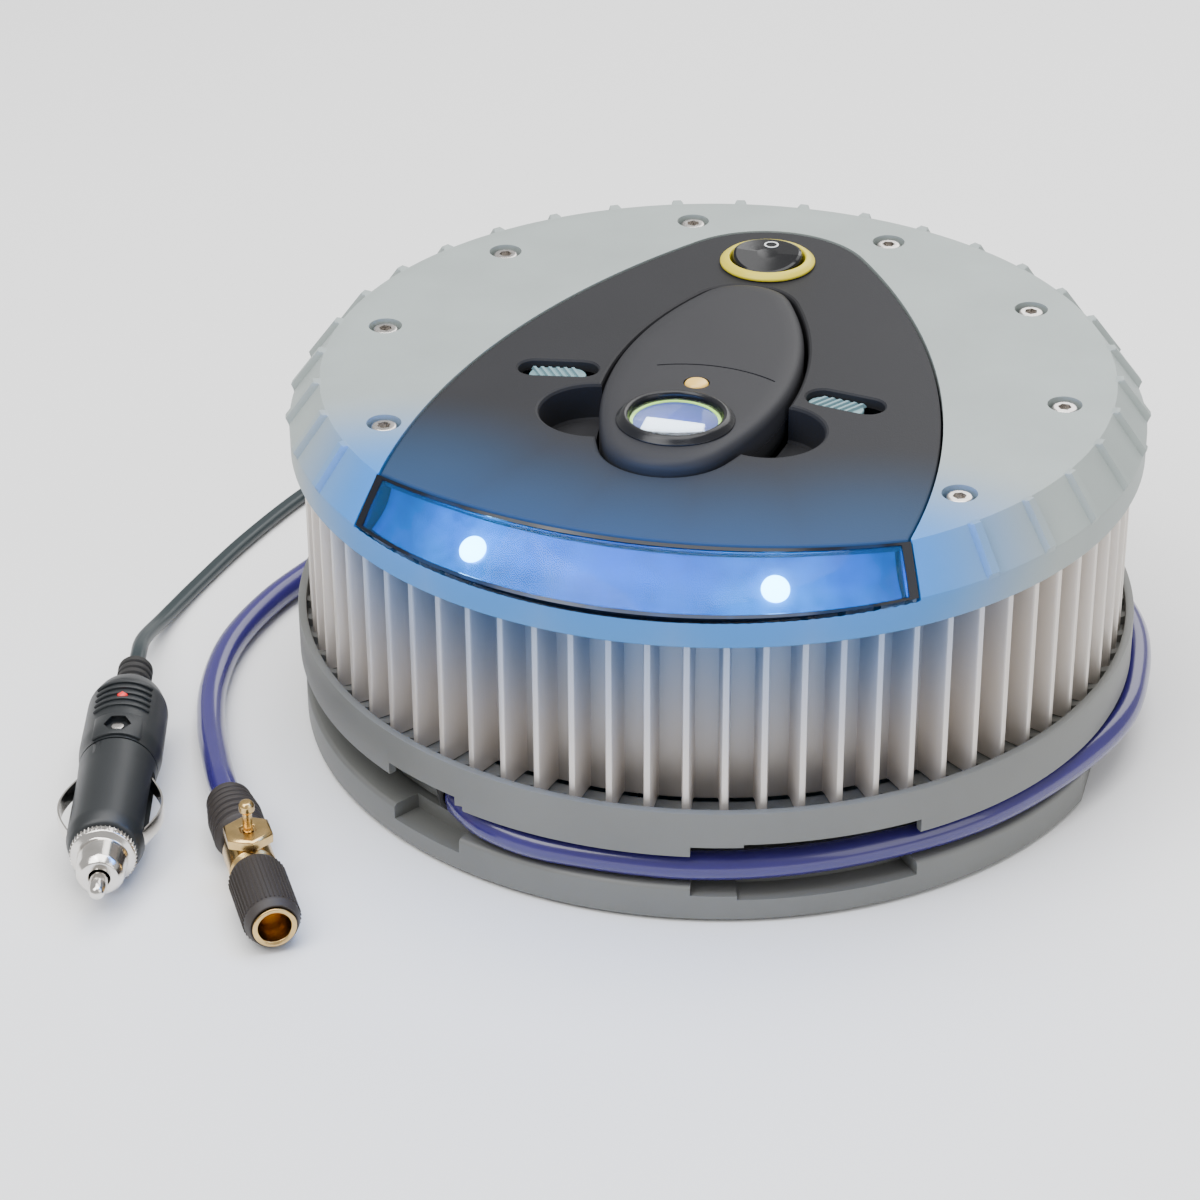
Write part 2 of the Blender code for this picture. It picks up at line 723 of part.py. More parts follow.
def make_light():
    frame = as_object(
        "light_frame", light_slab(-0.1, 0.012, 0.980, 0.0, -LIGHT_FRAME_DEPTH), "black_plastic"
    )
    panel_space = prism(panel_outline(0.0001), TOP_Z - PANEL_THICKNESS - FIT, TOP_Z + 0.01)
    cut(frame, as_object("panel_space", panel_space))
    cut(frame, as_object("lens_opening", light_slab(-1.9, 0.10, 0.91, 0.004, -0.020)))
    as_object("light_lens", light_slab(-2.2, 0.128, 0.882, -0.0006, -0.0022), "clear")
    reflector = light_slab(-2.5, 0.135, 0.875, -0.0045, -0.0056)
    reflector = as_object("light_reflector", reflector, "chrome")
    board = as_object("work_led_board", light_slab(-6, 0.32, 0.68, -0.0060, -0.0072), "led")
    for angle in (-90 - LED_HALF_DEG, -90 + LED_HALF_DEG):
        centre = light_point(angle, 0.5, 0)
        outward = (light_point(angle, 0.5, 0.001) - centre).normalized()
        place = Matrix.Translation(centre) @ outward.to_track_quat("Z", "Y").to_matrix().to_4x4()
        hole = prism(circle(0.0031, 14), -0.0090, 0.0)
        cut(reflector, as_object("led_hole", hole, turn=place))
        dome = [(0, -0.0066), (0.0026, -0.0066), (0.0026, -0.0036), (0.0018, -0.0029), (0, -0.0027)]
        led = lathe(dome, 12)
        join(board, as_object("led", led, turn=place))


# ---------------------------------------------------------------- control panel and latches
def latch_frame(side):
    """Slot frame: +X points away from the gauge."""
    turn = Matrix.Rotation(math.radians(-side * SLOT_TILT_DEG), 4, "Z")
    mirror = Matrix.Scale(side, 4, Vector((1, 0, 0)))
    return Matrix.Translation((CONTROLS_X + side * SLOT_X, SLOT_Y, 0)) @ turn @ mirror


def make_panel():
    panel = as_object(
        "control_panel", prism(panel_outline(-0.0002), TOP_Z - PANEL_THICKNESS, TOP_Z), "black_plastic"
    )
    wall = 0.0016
    tub = prism(gauge_outline(POCKET_GAP + wall), POCKET_FLOOR_Z - wall, TOP_Z - 0.001)
    join(panel, as_object("tub", tub))
    scoops = bmesh.new()
    for side in (-1, 1):
        centre = (CONTROLS_X + side * FINGER_X, FINGER_Y)
        well = prism(circle(FINGER_RADIUS + wall, 24, centre), FINGER_FLOOR_Z - wall, TOP_Z - 0.001)
        join(panel, as_object("well", well))
        prism(circle(FINGER_RADIUS, 24, centre), FINGER_FLOOR_Z, 0.11, scoops)
    cut(panel, as_object("scoops", scoops))
    cut(panel, as_object("pocket", prism(gauge_outline(POCKET_GAP), POCKET_FLOOR_Z, 0.11)))
    for side in (-1, 1):
        slot = prism(stadium(SLOT_LENGTH, SLOT_WIDTH), TOP_Z - PANEL_THICKNESS - 0.002, 0.11)
        cut(panel, as_object("slot", slot, turn=latch_frame(side)))
    switch_hole = prism(circle(ROCKER_RADIUS + 0.0020, 24, (CONTROLS_X, SWITCH_Y)), 0.07, 0.11)
    cut(panel, as_object("switch_hole", switch_hole))


def make_latch(name, side, rest):
    width = SLOT_WIDTH - 2 * 0.0005
    top = TOP_Z - 0.0012
    body = prism(stadium(LATCH_LENGTH, width), TOP_Z - PANEL_THICKNESS - 0.0006, top - 0.0008)
    slide = Matrix.Translation(((rest - 0.0028), 0, 0))
    frame = latch_frame(side) @ slide
    latch = as_object(name, body, "blue_grey", turn=frame)
    flange_low = TOP_Z - PANEL_THICKNESS - 0.0018
    flange = box(
        (0.0014 - LATCH_LENGTH / 2, -SLOT_WIDTH / 2 - 0.0012, flange_low),
        (LATCH_LENGTH / 2 - 0.0014, SLOT_WIDTH / 2 + 0.0012, TOP_Z - PANEL_THICKNESS - 0.0004),
    )
    join(latch, as_object("latch_flange", flange, turn=frame))
    ribs = bmesh.new()
    pitch = (LATCH_LENGTH - 0.0040) / (LATCH_RIBS - 1)
    for k in range(LATCH_RIBS):
        middle = (k - (LATCH_RIBS - 1) / 2) * pitch
        reach = width / 2 - 0.0002 - 0.0012 * (abs(middle) / (pitch * 2.5)) ** 3
        box((middle - 0.0006, -reach, top - 0.0011), (middle + 0.0006, reach, top), ribs)
    join(latch, as_object("latch_ribs", ribs, turn=frame))


def make_switch():
    centre = (CONTROLS_X, SWITCH_Y)
    move = Matrix.Translation((*centre, 0))
    rim = SWITCH_RADIUS
    hole = ROCKER_RADIUS + 0.0007
    bezel = lathe(
        [
            (hole, TOP_Z - 0.0100),
            (hole + 0.0009, TOP_Z - 0.0100),
            (hole + 0.0009, TOP_Z + 0.0003),
            (rim, TOP_Z + 0.0003),
            (rim, TOP_Z + 0.0009),
            (rim - 0.0010, TOP_Z + 0.0018),
            (hole + 0.0004, TOP_Z + 0.0022),
            (hole, TOP_Z + 0.0018),
        ],
        32,
    )
    as_object("switch_bezel", bezel, "yellow", turn=move)
    pivot = (*centre, TOP_Z + 0.0002)
    # Seen from the side, the rocker is two faces that meet in a shallow ridge.
    loops = []
    for height, scale in ((-0.0032, 0.90), (0.0002, 1.0), (1, 1.0)):
        loop = []
        for x, y in circle(ROCKER_RADIUS * scale, 28):
            z = height if height < 0.5 else 0.0036 - 0.0011 * abs(y) / ROCKER_RADIUS
            loop.append((x, y, z))
        loops.append(loop)
    tilt = Matrix.Rotation(math.radians(ROCKER_TILT_DEG / 2), 4, "X")
    rocker = loft(loops)
    bmesh.ops.triangulate(rocker, faces=[f for f in rocker.faces if len(f.verts) > 4])
    as_object("rocker_button", rocker, "black_plastic", at=pivot, turn=Matrix.Translation(pivot) @ tilt)
    body = prism(circle(ROCKER_RADIUS + 0.0016, 24, centre), TOP_Z - 0.0240, TOP_Z - 0.0104)
    contacts = bmesh.new()
    for k in (-1, 0, 1):
        x, y = centre[0], centre[1] + k * 0.006
        low, high = (x - 0.0030, y - 0.0004, TOP_Z - 0.0305), (x + 0.0030, y + 0.0004, TOP_Z - 0.0235)
        box(low, high, contacts)
    switch_body = as_object("switch_body", body, "black_plastic")
    join(switch_body, as_object("contacts", contacts))


# ---------------------------------------------------------------- gauge
def gauge_top(y):
    return GAUGE_TOP_Z + GAUGE_SLOPE * y


def sloped_loop(inset, drop):
    return [(x, y, gauge_top(y) - drop) for x, y in gauge_outline(-inset)]


def flat_loop(inset, z):
    return [(x, y, z) for x, y in gauge_outline(-inset)]


def gauge_tilt(y, out=0.0):
    """Frame on the gauge's sloping top, +Z square to it."""
    slope = Matrix.Rotation(math.atan(GAUGE_SLOPE), 4, "X")
    start = Matrix.Translation((CONTROLS_X, y, gauge_top(y)))
    return start @ slope @ Matrix.Translation((0, 0, out))


def make_gauge():
    wall = 0.0018
    front = as_object(
        "gauge_front_shell",
        loft(
            [
                flat_loop(0, GAUGE_SPLIT_Z + FIT / 2),
                sloped_loop(0, 0.0022),
                sloped_loop(0.0006, 0.0008),
                sloped_loop(0.0020, 0.0),
            ]
        ),
        "black_plastic",
    )
    hollow = loft([flat_loop(wall, GAUGE_SPLIT_Z - 0.002), sloped_loop(wall, wall + 0.0008)])
    cut(front, as_object("front_hollow", hollow))
    window = prism(circle(0.0139, 28), -0.01, 0.01)
    cut(front, as_object("bezel_hole", window, turn=gauge_tilt(BEZEL_Y)))
    button_hole = prism(circle(BUTTON_RADIUS + 0.0003, 16), -0.01, 0.01)
    cut(front, as_object("button_hole", button_hole, turn=gauge_tilt(BUTTON_Y)))

    lower = [
        flat_loop(0.0030, GAUGE_BOTTOM_Z),
        flat_loop(0.0006, GAUGE_BOTTOM_Z + 0.0030),
        flat_loop(0, GAUGE_SPLIT_Z),
    ]
    back = as_object("gauge_back_shell", loft(lower), "black_plastic")
    hollow = [flat_loop(0.0048, GAUGE_BOTTOM_Z + wall), flat_loop(wall, GAUGE_SPLIT_Z + 0.002)]
    cut(back, as_object("back_hollow", loft(hollow)))
    nozzle_hole = prism(circle(0.0047, 20, (CONTROLS_X, NOZZLE_Y)), 0.08, GAUGE_BOTTOM_Z + 0.004)
    cut(back, as_object("nozzle_hole", nozzle_hole))

    bezel = lathe(
        [
            (LENS_RADIUS + 0.0002, -0.0012),
            (0.0135, -0.0012),
            (0.0135, 0.0003),
            (BEZEL_BASE_RADIUS, 0.0003),
            (BEZEL_BASE_RADIUS - 0.0007, 0.0009),
            (BEZEL_RIM_RADIUS + 0.0006, BEZEL_HEIGHT - 0.0003),
            (BEZEL_RIM_RADIUS - 0.0004, BEZEL_HEIGHT),
            (LENS_RADIUS + 0.0002, BEZEL_HEIGHT - 0.0008),
        ],
        32,
    )
    as_object("gauge_bezel", bezel, "black_plastic", turn=gauge_tilt(BEZEL_Y))
    edge = LENS_RADIUS
    lens = lathe([(0, -0.0002), (edge, -0.0002), (edge, 0.0006), (0.6 * edge, 0.0009), (0, 0.0010)], 28)
    as_object("gauge_lens", lens, "clear", turn=gauge_tilt(BEZEL_Y))
    board = loft([flat_loop(0.0062, GAUGE_SPLIT_Z + lift) for lift in (0.0004, 0.0016)])
    board = as_object("gauge_display", board, "led")
    screen = prism(circle(LENS_RADIUS - 0.0008, 24), -0.0068, -0.0006)
    join(board, as_object("screen", screen, turn=gauge_tilt(BEZEL_Y)))

    button = lathe(
        [
            (0, -0.0036),
            (0.0045, -0.0036),
            (0.0045, -0.0026),
            (BUTTON_RADIUS, -0.0026),
            (BUTTON_RADIUS, 0.0004),
            (BUTTON_RADIUS - 0.0005, 0.0009),
            (0, 0.0011),
        ],
        16,
    )
    place = gauge_tilt(BUTTON_Y, -0.0004)
    as_object("gauge_button", button, "yellow", at=place.translation, turn=place)

    nozzle = lathe(
        [
            (0.0020, POCKET_FLOOR_Z + 0.0008),
            (0.0043, POCKET_FLOOR_Z + 0.0008),
            (0.0043, GAUGE_BOTTOM_Z + 0.0040),
            (0.0053, GAUGE_BOTTOM_Z + 0.0045),
            (0.0053, GAUGE_BOTTOM_Z + 0.0065),
            (0.0020, GAUGE_BOTTOM_Z + 0.0065),
        ],
        16,
    )
    as_object("gauge_nozzle", nozzle, "brass", turn=Matrix.Translation((CONTROLS_X, NOZZLE_Y, 0)))


# ---------------------------------------------------------------- compressor
def on_x(y=0.0, z=AXLE_Z):
    """Frame whose +Z lies along +X."""
    return Matrix.Translation((0, y, z)) @ Matrix.Rotation(math.radians(90), 4, "Y")


def on_y(z=AXLE_Z):
    """Frame whose +Z lies along -Y."""
    return Matrix.Translation((0, 0, z)) @ Matrix.Rotation(math.radians(90), 4, "X")


CRANK_Y = MOTOR_Y - GEAR_MODULE * (PINION_TEETH + CRANK_TEETH) / 2
GEAR_LOW_X, GEAR_HIGH_X = -0.0155, -0.0095
PLATE_LOW_X, PLATE_HIGH_X = MOTOR_FRONT_X + FIT, -0.0167


def make_motor():
    can = lathe(
        [
            (0.0030, MOTOR_REAR_X),
            (MOTOR_RADIUS, MOTOR_REAR_X),
            (MOTOR_RADIUS, MOTOR_FRONT_X),
            (MOTOR_RADIUS - 0.0016, MOTOR_FRONT_X),
            (MOTOR_RADIUS - 0.0016, MOTOR_REAR_X + 0.0016),
            (0.0030, MOTOR_REAR_X + 0.0016),
        ],
        28,
    )
    as_object("motor_can", can, "steel", turn=on_x(MOTOR_Y))
    pivot = (0, MOTOR_Y, AXLE_Z)
    shaft = 0.0016
    arm = lathe(
        [
            (0, -0.0905),
            (shaft, -0.0905),
            (shaft, -0.068),
            (0.0150, -0.068),
            (0.0150, -0.032),
            (shaft, -0.032),
            (shaft, GEAR_HIGH_X),
            (0, GEAR_HIGH_X),
        ],
        20,
    )
    armature = as_object("motor_armature", arm, "steel", at=pivot, turn=on_x(MOTOR_Y))
    teeth = prism(gear_outline(PINION_TEETH, -90), GEAR_LOW_X, GEAR_HIGH_X - 0.0005)
    join(armature, as_object("pinion", teeth, turn=gear_frame(MOTOR_Y)))
    hub = tube_solid(circle(0.0055, 16), circle(shaft + 0.0003, 16), -0.0895, -0.0835)
    fan = as_object("cooling_fan", hub, "black_plastic", at=pivot, turn=on_x(MOTOR_Y))
    for k in range(FAN_BLADES):
        blade = Matrix.Rotation(math.radians(360 / FAN_BLADES * k), 4, "Z")
        blade @= Matrix.Rotation(math.radians(28), 4, "X")
        blade = on_x(MOTOR_Y) @ Matrix.Translation((0, 0, -0.0865)) @ blade
        plate = box((0.0048, -0.0005, -0.0022), (0.0165, 0.0005, 0.0022))
        join(fan, as_object("blade", plate, turn=blade))


def gear_frame(y):
    """Outline x, y become y, z, and its z becomes x."""
    axes = Matrix(((0, 0, 1, 0), (1, 0, 0, 0), (0, 1, 0, 0), (0, 0, 0, 1)))
    return Matrix.Translation((0, y, AXLE_Z)) @ axes


def make_crank():
    pivot = (0, CRANK_Y, AXLE_Z)
    # A gap of the crank gear faces the pinion's tooth.
    teeth = gear_outline(CRANK_TEETH, 180 / CRANK_TEETH)
    disc = prism(teeth, GEAR_LOW_X, GEAR_HIGH_X)
    gear = as_object("crank_gear", disc, "black_plastic", at=pivot, turn=gear_frame(CRANK_Y))
    # The pin stops just short of the rod's eye, so that each can move by itself.
    pin = prism(circle(0.003, 12, (CRANK_THROW, 0)), GEAR_HIGH_X - 0.001, -0.0034 - FIT)
    axle = prism(circle(0.003, 12), -0.0260, GEAR_LOW_X + 0.001)
    join(gear, as_object("crank_pin", pin, turn=gear_frame(CRANK_Y)))
    join(gear, as_object("axle", axle, turn=gear_frame(CRANK_Y)))


def make_piston():
    eye = (0, CRANK_Y + CRANK_THROW, AXLE_Z)
    crown_y = eye[1] - ROD_LENGTH - 0.005
    rod = as_object(
        "piston_rod",
        tube_solid(circle(0.0072, 20), circle(0.0037, 20), -0.003, 0.003),
        "black_plastic",
        turn=gear_frame(eye[1]),
    )
    end = eye[1] - ROD_LENGTH - 0.002
    beam = box((-0.0025, end, AXLE_Z - 0.0035), (0.0025, eye[1] - 0.0060, AXLE_Z + 0.0035))
    join(rod, as_object("beam", beam))
    crown = [(0, -0.0045), (0.0114, -0.0045), (0.0114, -0.0032), (0.0100, -0.0032)]
    crown += [(0.0100, -0.0014), (0.0114, -0.0014), (0.0114, 0), (0, 0)]
    crown = lathe([(radius, rise - crown_y) for radius, rise in crown], 24)
    join(rod, as_object("crown", crown, turn=on_y()))


def make_cylinder():
    barrel = lathe(
        [
            (BORE_RADIUS, -CYLINDER_START_Y),
            (CYLINDER_RADIUS, -CYLINDER_START_Y),
            (CYLINDER_RADIUS, -CYLINDER_END_Y),
            (BORE_RADIUS, -CYLINDER_END_Y),
        ],
        24,
    )
    as_object("cylinder", barrel, "steel", turn=on_y())
    head_low = -CYLINDER_END_Y + FIT
    block = prism(circle(CYLINDER_RADIUS + 0.002, 24), head_low, head_low + 0.010)
    head = as_object("cylinder_head", block, "steel", turn=on_y())
    outlet = prism(circle(0.0030, 16, (0, 0)), 0.010, 0.0215)
    middle = Matrix.Translation((0, -(head_low + 0.005), AXLE_Z))
    outlet_frame = middle @ Matrix.Rotation(math.radians(-90), 4, "Y")
    join(head, as_object("outlet", outlet, turn=outlet_frame))

    frame = as_object(
        "gearbox_frame", box((PLATE_LOW_X, -0.040, 0.0150), (PLATE_HIGH_X, 0.046, 0.0680)), "steel"
    )
    floor = FLANGE_TOP_Z + WALL + 2 * FIT
    foot = box((-0.060, -0.056, floor), (0.016, 0.046, floor + 0.0030))
    cradle = box((-0.062, MOTOR_Y - 0.012, floor), (-0.050, MOTOR_Y + 0.012, AXLE_Z - 0.0165))
    saddle = box((-0.009, -0.056, floor), (0.009, -0.040, AXLE_Z - 0.009))
    join(frame, as_object("foot", foot), as_object("saddle", saddle), as_object("cradle", cradle))
    for radius, turn in ((MOTOR_RADIUS, on_x(MOTOR_Y)), (CYLINDER_RADIUS, on_y())):
        reach = sorted((MOTOR_REAR_X, MOTOR_FRONT_X)) if radius == MOTOR_RADIUS else (0.030, 0.070)
        cut(frame, as_object("bed", prism(circle(radius + FIT, 28), *reach), turn=turn))
    bores = bmesh.new()
    prism(circle(0.0034, 16), -0.03, 0.0, bores)
    cut(frame, as_object("bearing_bore", bores, turn=gear_frame(CRANK_Y)))
    cut(frame, as_object("shaft_bore", prism(circle(0.0050, 16), -0.03, 0.0), turn=gear_frame(MOTOR_Y)))


# ---------------------------------------------------------------- hose and chuck
def make_hose():
    route = [grommet_frame() @ Vector((0, 0, s)) for s in (0.0020, 0.0050)]
    route += [polar(radius, angle, z) for angle, radius, z in HOSE_IN_GROOVE]
    chuck = along(CHUCK_START, CHUCK_HEADING_DEG, CHUCK_AXIS_Z)
    route += [Vector(p) for p in HOSE_FREE]
    route += [chuck @ Vector((0, 0, s)) for s in (-0.008, -0.0004)]
    cord_object("air_hose", route, HOSE_RADIUS, "blue_hose", 1.9)


def make_chuck():
    frame = along(CHUCK_START, CHUCK_HEADING_DEG, CHUCK_AXIS_Z)
    ferrule_profile = [(0, 0), (0.0058, 0)]
    for k in range(4):
        s = 0.0022 + 0.0040 * k
        radius = 0.0064 + 0.0003 * k
        ferrule_profile += [(radius, s), (radius, s + 0.0022), (radius - 0.0006, s + 0.0031)]
    ferrule_profile += [(0.0074, 0.0185), (0.0060, 0.0205), (0, 0.0205)]
    as_object("hose_ferrule", lathe(ferrule_profile, 16), "rubber", turn=frame)
    body = lathe(
        [
            (0, 0.0209),
            (0.0052, 0.0209),
            (0.0052, 0.0245),
            (0.0064, 0.0255),
            (0.0064, 0.0350),
            (0.0048, 0.0365),
            (0.0048, 0.0460),
            (0, 0.0460),
        ],
        18,
    )
    body = as_object("chuck_body", body, "brass", turn=frame)
    sleeve = lathe(
        [
            (0.0052, 0.0379),
            (0.0070, 0.0379),
            (0.0078, 0.0405),
            (0.0078, 0.0590),
            (0.0068, 0.0622),
            (0.0058, 0.0628),
            (0.0043, 0.0628),
            (0.0043, 0.0464),
            (0.0052, 0.0464),
        ],
        24,
    )
    as_object("chuck_sleeve", sleeve, "rubber", at=frame @ Vector((0, 0, 0.05)), turn=frame)
    seat = frame @ Vector((0, 0.0062, 0.0303))
    upright = Matrix.Translation(seat) @ Matrix.Rotation(math.radians(CHUCK_HEADING_DEG), 4, "Z")
    plate = lathe(
        [
            (0, -0.0020),
            (0.0035, -0.0020),
            (0.0035, 0.0004),
            (0.0070, 0.0004),
            (0.0070, 0.0030),
            (0.0060, 0.0036),
            (0.0021, 0.0036),
            (0.0021, 0.0000),
            (0, 0.0000),
        ],
        6,
    )
    join(body, as_object("bleed_plate", plate, turn=upright))
    pin = [(0, 0.0015), (0.0014, 0.0015), (0.0014, 0.0090), (0.0021, 0.0096)]
    pin = lathe([*pin, (0.0021, 0.0112), (0.0014, 0.0122), (0, 0.0122)], 12)
    as_object("bleed_pin", pin, "brass", at=upright.translation, turn=upright)


# ---------------------------------------------------------------- cord and plug
def make_cord():
    gland = lathe(
        [
            (0.0026, -0.0060),
            (0.0040, -0.0060),
            (0.0040, 0.0004),
            (0.0052, 0.0004),
            (0.0052, 0.0030),
            (0.0034, 0.0170),
            (0.0018, 0.0170),
            (0.0018, 0.0100),
            (0.0026, 0.0100),
        ],
        16,
    )
    as_object("cord_gland", gland, "rubber", turn=gland_frame())
    start = [gland_frame() @ Vector((0, 0, s)) for s in (0.0174, 0.0200)]
    cord_object("power_cord", start + CORD_TO_COIL, CORD_RADIUS, "cord", 1.0)
    coil = lathe(
        [
            (COIL_INNER_RADIUS, 0.0002),
            (COIL_OUTER_RADIUS, 0.0002),
            (COIL_OUTER_RADIUS, COIL_TOP_Z),
            (COIL_INNER_RADIUS, COIL_TOP_Z),
        ],
        32,
    )
    as_object("cord_coil", coil, "cord", turn=Matrix.Translation((*COIL_CENTRE, 0)))
    plug = along(PLUG_START, PLUG_HEADING_DEG, PLUG_AXIS_Z)
    tail = [plug @ Vector((0, 0, s)) for s in (-0.0070, -0.0004)]
    cord_object("cord_lead", CORD_TO_PLUG + tail, CORD_RADIUS, "cord", 2.4)


def make_plug():
    frame = along(PLUG_START, PLUG_HEADING_DEG, PLUG_AXIS_Z)
    relief = [(0, 0), (0.0046, 0)]
    for k in range(3):
        s = 0.0020 + 0.0040 * k
        relief += [(0.0049, s), (0.0049, s + 0.0022), (0.0040, s + 0.0028)]
    relief += [(0.0046, 0.0150), (0, 0.0150)]
    as_object("plug_strain_relief", lathe(relief, 12), "rubber", turn=frame)
    barrel = PLUG_BARREL_RADIUS
    body = as_object(
        "plug_body",
        lathe(
            [
                (0, 0.0154),
                (0.0062, 0.0154),
                (0.0098, 0.0190),
                (0.0113, 0.0240),
                (0.0114, 0.0480),
                (barrel, 0.0600),
                (barrel, 0.0880),
                (0.0090, 0.0925),
                (0, 0.0925),
            ],
            24,
        ),
        "black_plastic",
        turn=frame,
    )
    slots = bmesh.new()
    for side in (-1, 1):
        low, high = sorted((side * 0.0072, side * 0.020))
        box((low, -0.0031, 0.0585), (high, 0.0031, 0.0885), slots)
    cut(body, as_object("clip_slots", slots, turn=frame))
    window = prism(circle(0.0016, 12), 0.0092, 0.0125)
    top = Matrix.Rotation(math.radians(-90), 4, "X")
    led_place = Matrix.Translation((0, 0, 0.0320)) @ top
    cut(body, as_object("window", window, turn=frame @ led_place))
    lamp = lathe([(0, 0.0095), (0.0013, 0.0095), (0.0013, 0.0112), (0.0007, 0.0118), (0, 0.0118)], 12)
    as_object("plug_indicator", lamp, "red", turn=frame @ led_place)
    for name, side in (("plug_clip_left", 1), ("plug_clip_right", -1)):
        sections = []
        for k in range(9):
            s = 0.0600 + 0.0270 * k / 8
            bow = 0.0092 + 0.0044 * math.sin(math.pi * k / 8)
            sections.append(
                [
                    (side * bow, -0.0024, s),
                    (side * (bow + 0.0006), -0.0024, s),
                    (side * (bow + 0.0006), 0.0024, s),
                    (side * bow, 0.0024, s),
                ]
            )
        middle = frame @ Vector((side * 0.011, 0, 0.0735))
        as_object(name, loft(sections), "chrome", at=middle, turn=frame)
    cap = lathe(
        [
            (0.0028, 0.0929),
            (0.0086, 0.0929),
            (0.0086, 0.0955),
            (0.0066, 0.0962),
            (0.0062, 0.1035),
            (0.0048, 0.1050),
            (0.0028, 0.1050),
        ],
        24,
    )
    as_object("plug_nose_cap", cap, "chrome", at=frame @ Vector((0, 0, 0.098)), turn=frame)
    tip = lathe([(0, 0.0965), (0.0024, 0.0965), (0.0024, 0.1100), (0.0016, 0.1125), (0, 0.1130)], 14)
    as_object("plug_tip", tip, "chrome", at=frame @ Vector((0, 0, 0.105)), turn=frame)


def main():
    for obj in list(bpy.data.objects):
        bpy.data.objects.remove(obj, do_unlink=True)
    make_base()
    make_tray()
    make_housing()
    make_cover()
    make_light()
    make_panel()
    make_latch("left_latch", -1, LEFT_LATCH_REST)
    make_latch("right_latch", 1, 0.0)
    make_switch()
    make_gauge()
    make_motor()
    make_crank()
    make_piston()
    make_cylinder()
    make_hose()
    make_chuck()
    make_cord()
    make_plug()


main()
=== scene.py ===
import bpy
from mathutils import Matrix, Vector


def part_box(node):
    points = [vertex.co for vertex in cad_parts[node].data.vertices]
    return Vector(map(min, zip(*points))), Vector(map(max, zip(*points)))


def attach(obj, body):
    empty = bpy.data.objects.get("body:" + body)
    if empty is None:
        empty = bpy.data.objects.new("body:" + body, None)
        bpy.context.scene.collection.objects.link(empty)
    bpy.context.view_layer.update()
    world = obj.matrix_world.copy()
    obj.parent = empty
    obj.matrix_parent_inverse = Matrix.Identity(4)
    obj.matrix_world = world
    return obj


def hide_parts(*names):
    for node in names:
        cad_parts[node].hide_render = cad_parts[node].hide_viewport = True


bl_info = {
    "name": "Drum tyre inflator",
    "version": (1, 0, 0),
    "blender": (4, 5, 0),
    "location": "View3D > Sidebar > Inflator",
    "description": "Dresses a drum-shaped tyre inflator with its shells, cords and surfaces",
    "category": "Object",
}

import math

import bmesh
import bpy
from bpy.props import FloatProperty, FloatVectorProperty, IntProperty
from mathutils import Matrix, Vector

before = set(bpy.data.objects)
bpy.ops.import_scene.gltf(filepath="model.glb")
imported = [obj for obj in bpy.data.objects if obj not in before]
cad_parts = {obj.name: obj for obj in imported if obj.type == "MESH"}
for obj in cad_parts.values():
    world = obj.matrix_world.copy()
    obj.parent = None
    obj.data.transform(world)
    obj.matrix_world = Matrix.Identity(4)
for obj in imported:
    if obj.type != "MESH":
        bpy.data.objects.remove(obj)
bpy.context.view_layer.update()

# Sizes shared with the CAD model, in metres and degrees.
TOP = 0.104  # flat top of the cover
WALL = 0.0024
FIT = 0.0004  # gap between neighbouring pieces
GROOVE_RADIUS = 0.1065
GROOVE_ROOF = 0.0255
LEDGE = 0.0305  # the finned housing stands on it
FIN_TOP = 0.0862
COVER_RADIUS = 0.1176
SHOULDER_Z = 0.0920
PANEL_THICKNESS = 0.0032
PANEL_FRONT_Y = 0.0562  # centre of the panel's front arc
PANEL_FRONT_RADIUS = 0.156
CONTROLS_X = -0.0015  # centre line of the gauge, recesses, latches and switch
SWITCH_Y = 0.0676
SWITCH_HOLE = 0.0108
ROCKER_RADIUS = 0.0101
ROCKER_EDGE = (0.0010, 0.0003, 0.0, 0.0, 0.0)  # how far each loop of the top lies down
FINGER_X, FINGER_Y = 0.0238, -0.0343
LATCH_X, LATCH_Y, LATCH_TURN = 0.0401, -0.0130, 10
SLOT_LENGTH, SLOT_WIDTH = 0.0222, 0.0094
GAUGE_TOP = 0.1063
GAUGE_SLOPE = -0.0150
GAUGE_SPLIT = 0.0990  # where the gauge's two shells meet
BEZEL_Y = -0.0405
BUTTON_Y = -0.0175
POCKET_GAP = 0.0012
POCKET_FLOOR = 0.0860
LAMP_ANGLES = (-111.5, -68.5)
LIGHT_HALF_ANGLE = 40
LIGHT_TAPER = 0.021  # how much shorter the light is at its lower edge
SCREW_STEP = 36
# Where the shoulder is cut across: close together over the rib at 0, up to the next one.
RIB_ANGLES = (-3.6, -1.3, -0.95, -0.82, -0.60, 0, 0.60, 0.82, 0.95, 1.3, 3.6, 5.0)
# Where the plug and the chuck lie: start, heading and height of the axis.
PLUG = ((-0.1575, -0.0505), -73.3, 0.0117)
CHUCK = ((-0.1105, -0.1019), -58.3, 0.0080)
BLEED_SEAT = (0, 0.0062, 0.0303)  # foot of the bleed pin, from the chuck's start
GLAND = (104, 0.1168, 0.0058)  # angle, radius and height
HOSE_EXIT_Z = 0.0168
COIL_CENTRE = Vector((-0.062, 0.172, 0.0))
COIL_RADII = (0.0220, 0.0370)
COIL_START = -20.0
COIL_LAYERS = 4
COIL_LAYER_TURNS = 3
COIL_LAYER_HEIGHT = 0.0047
CORD_ON_FLOOR = 0.0023
CAMERA_AT = (0.1990, -0.8353, 0.5304)
CAMERA_AHEAD = (-0.2319, 0.8319, -0.5042)
CAMERA_ROLL = -0.00736
CAMERA_LENS = 104.7
GLOW_ANGLES = (-122, -111.5, -100, -90, -80, -68.5, -58)
# Painted light: the points on the work light round which its blue spill is painted onto nearby
# surfaces, and the distances over which it fades.
PAINTED_SPILL_ANGLES = (-124, -107, -90, -73, -56)
PAINTED_SPILL_REACH = (0.012, 0.060)


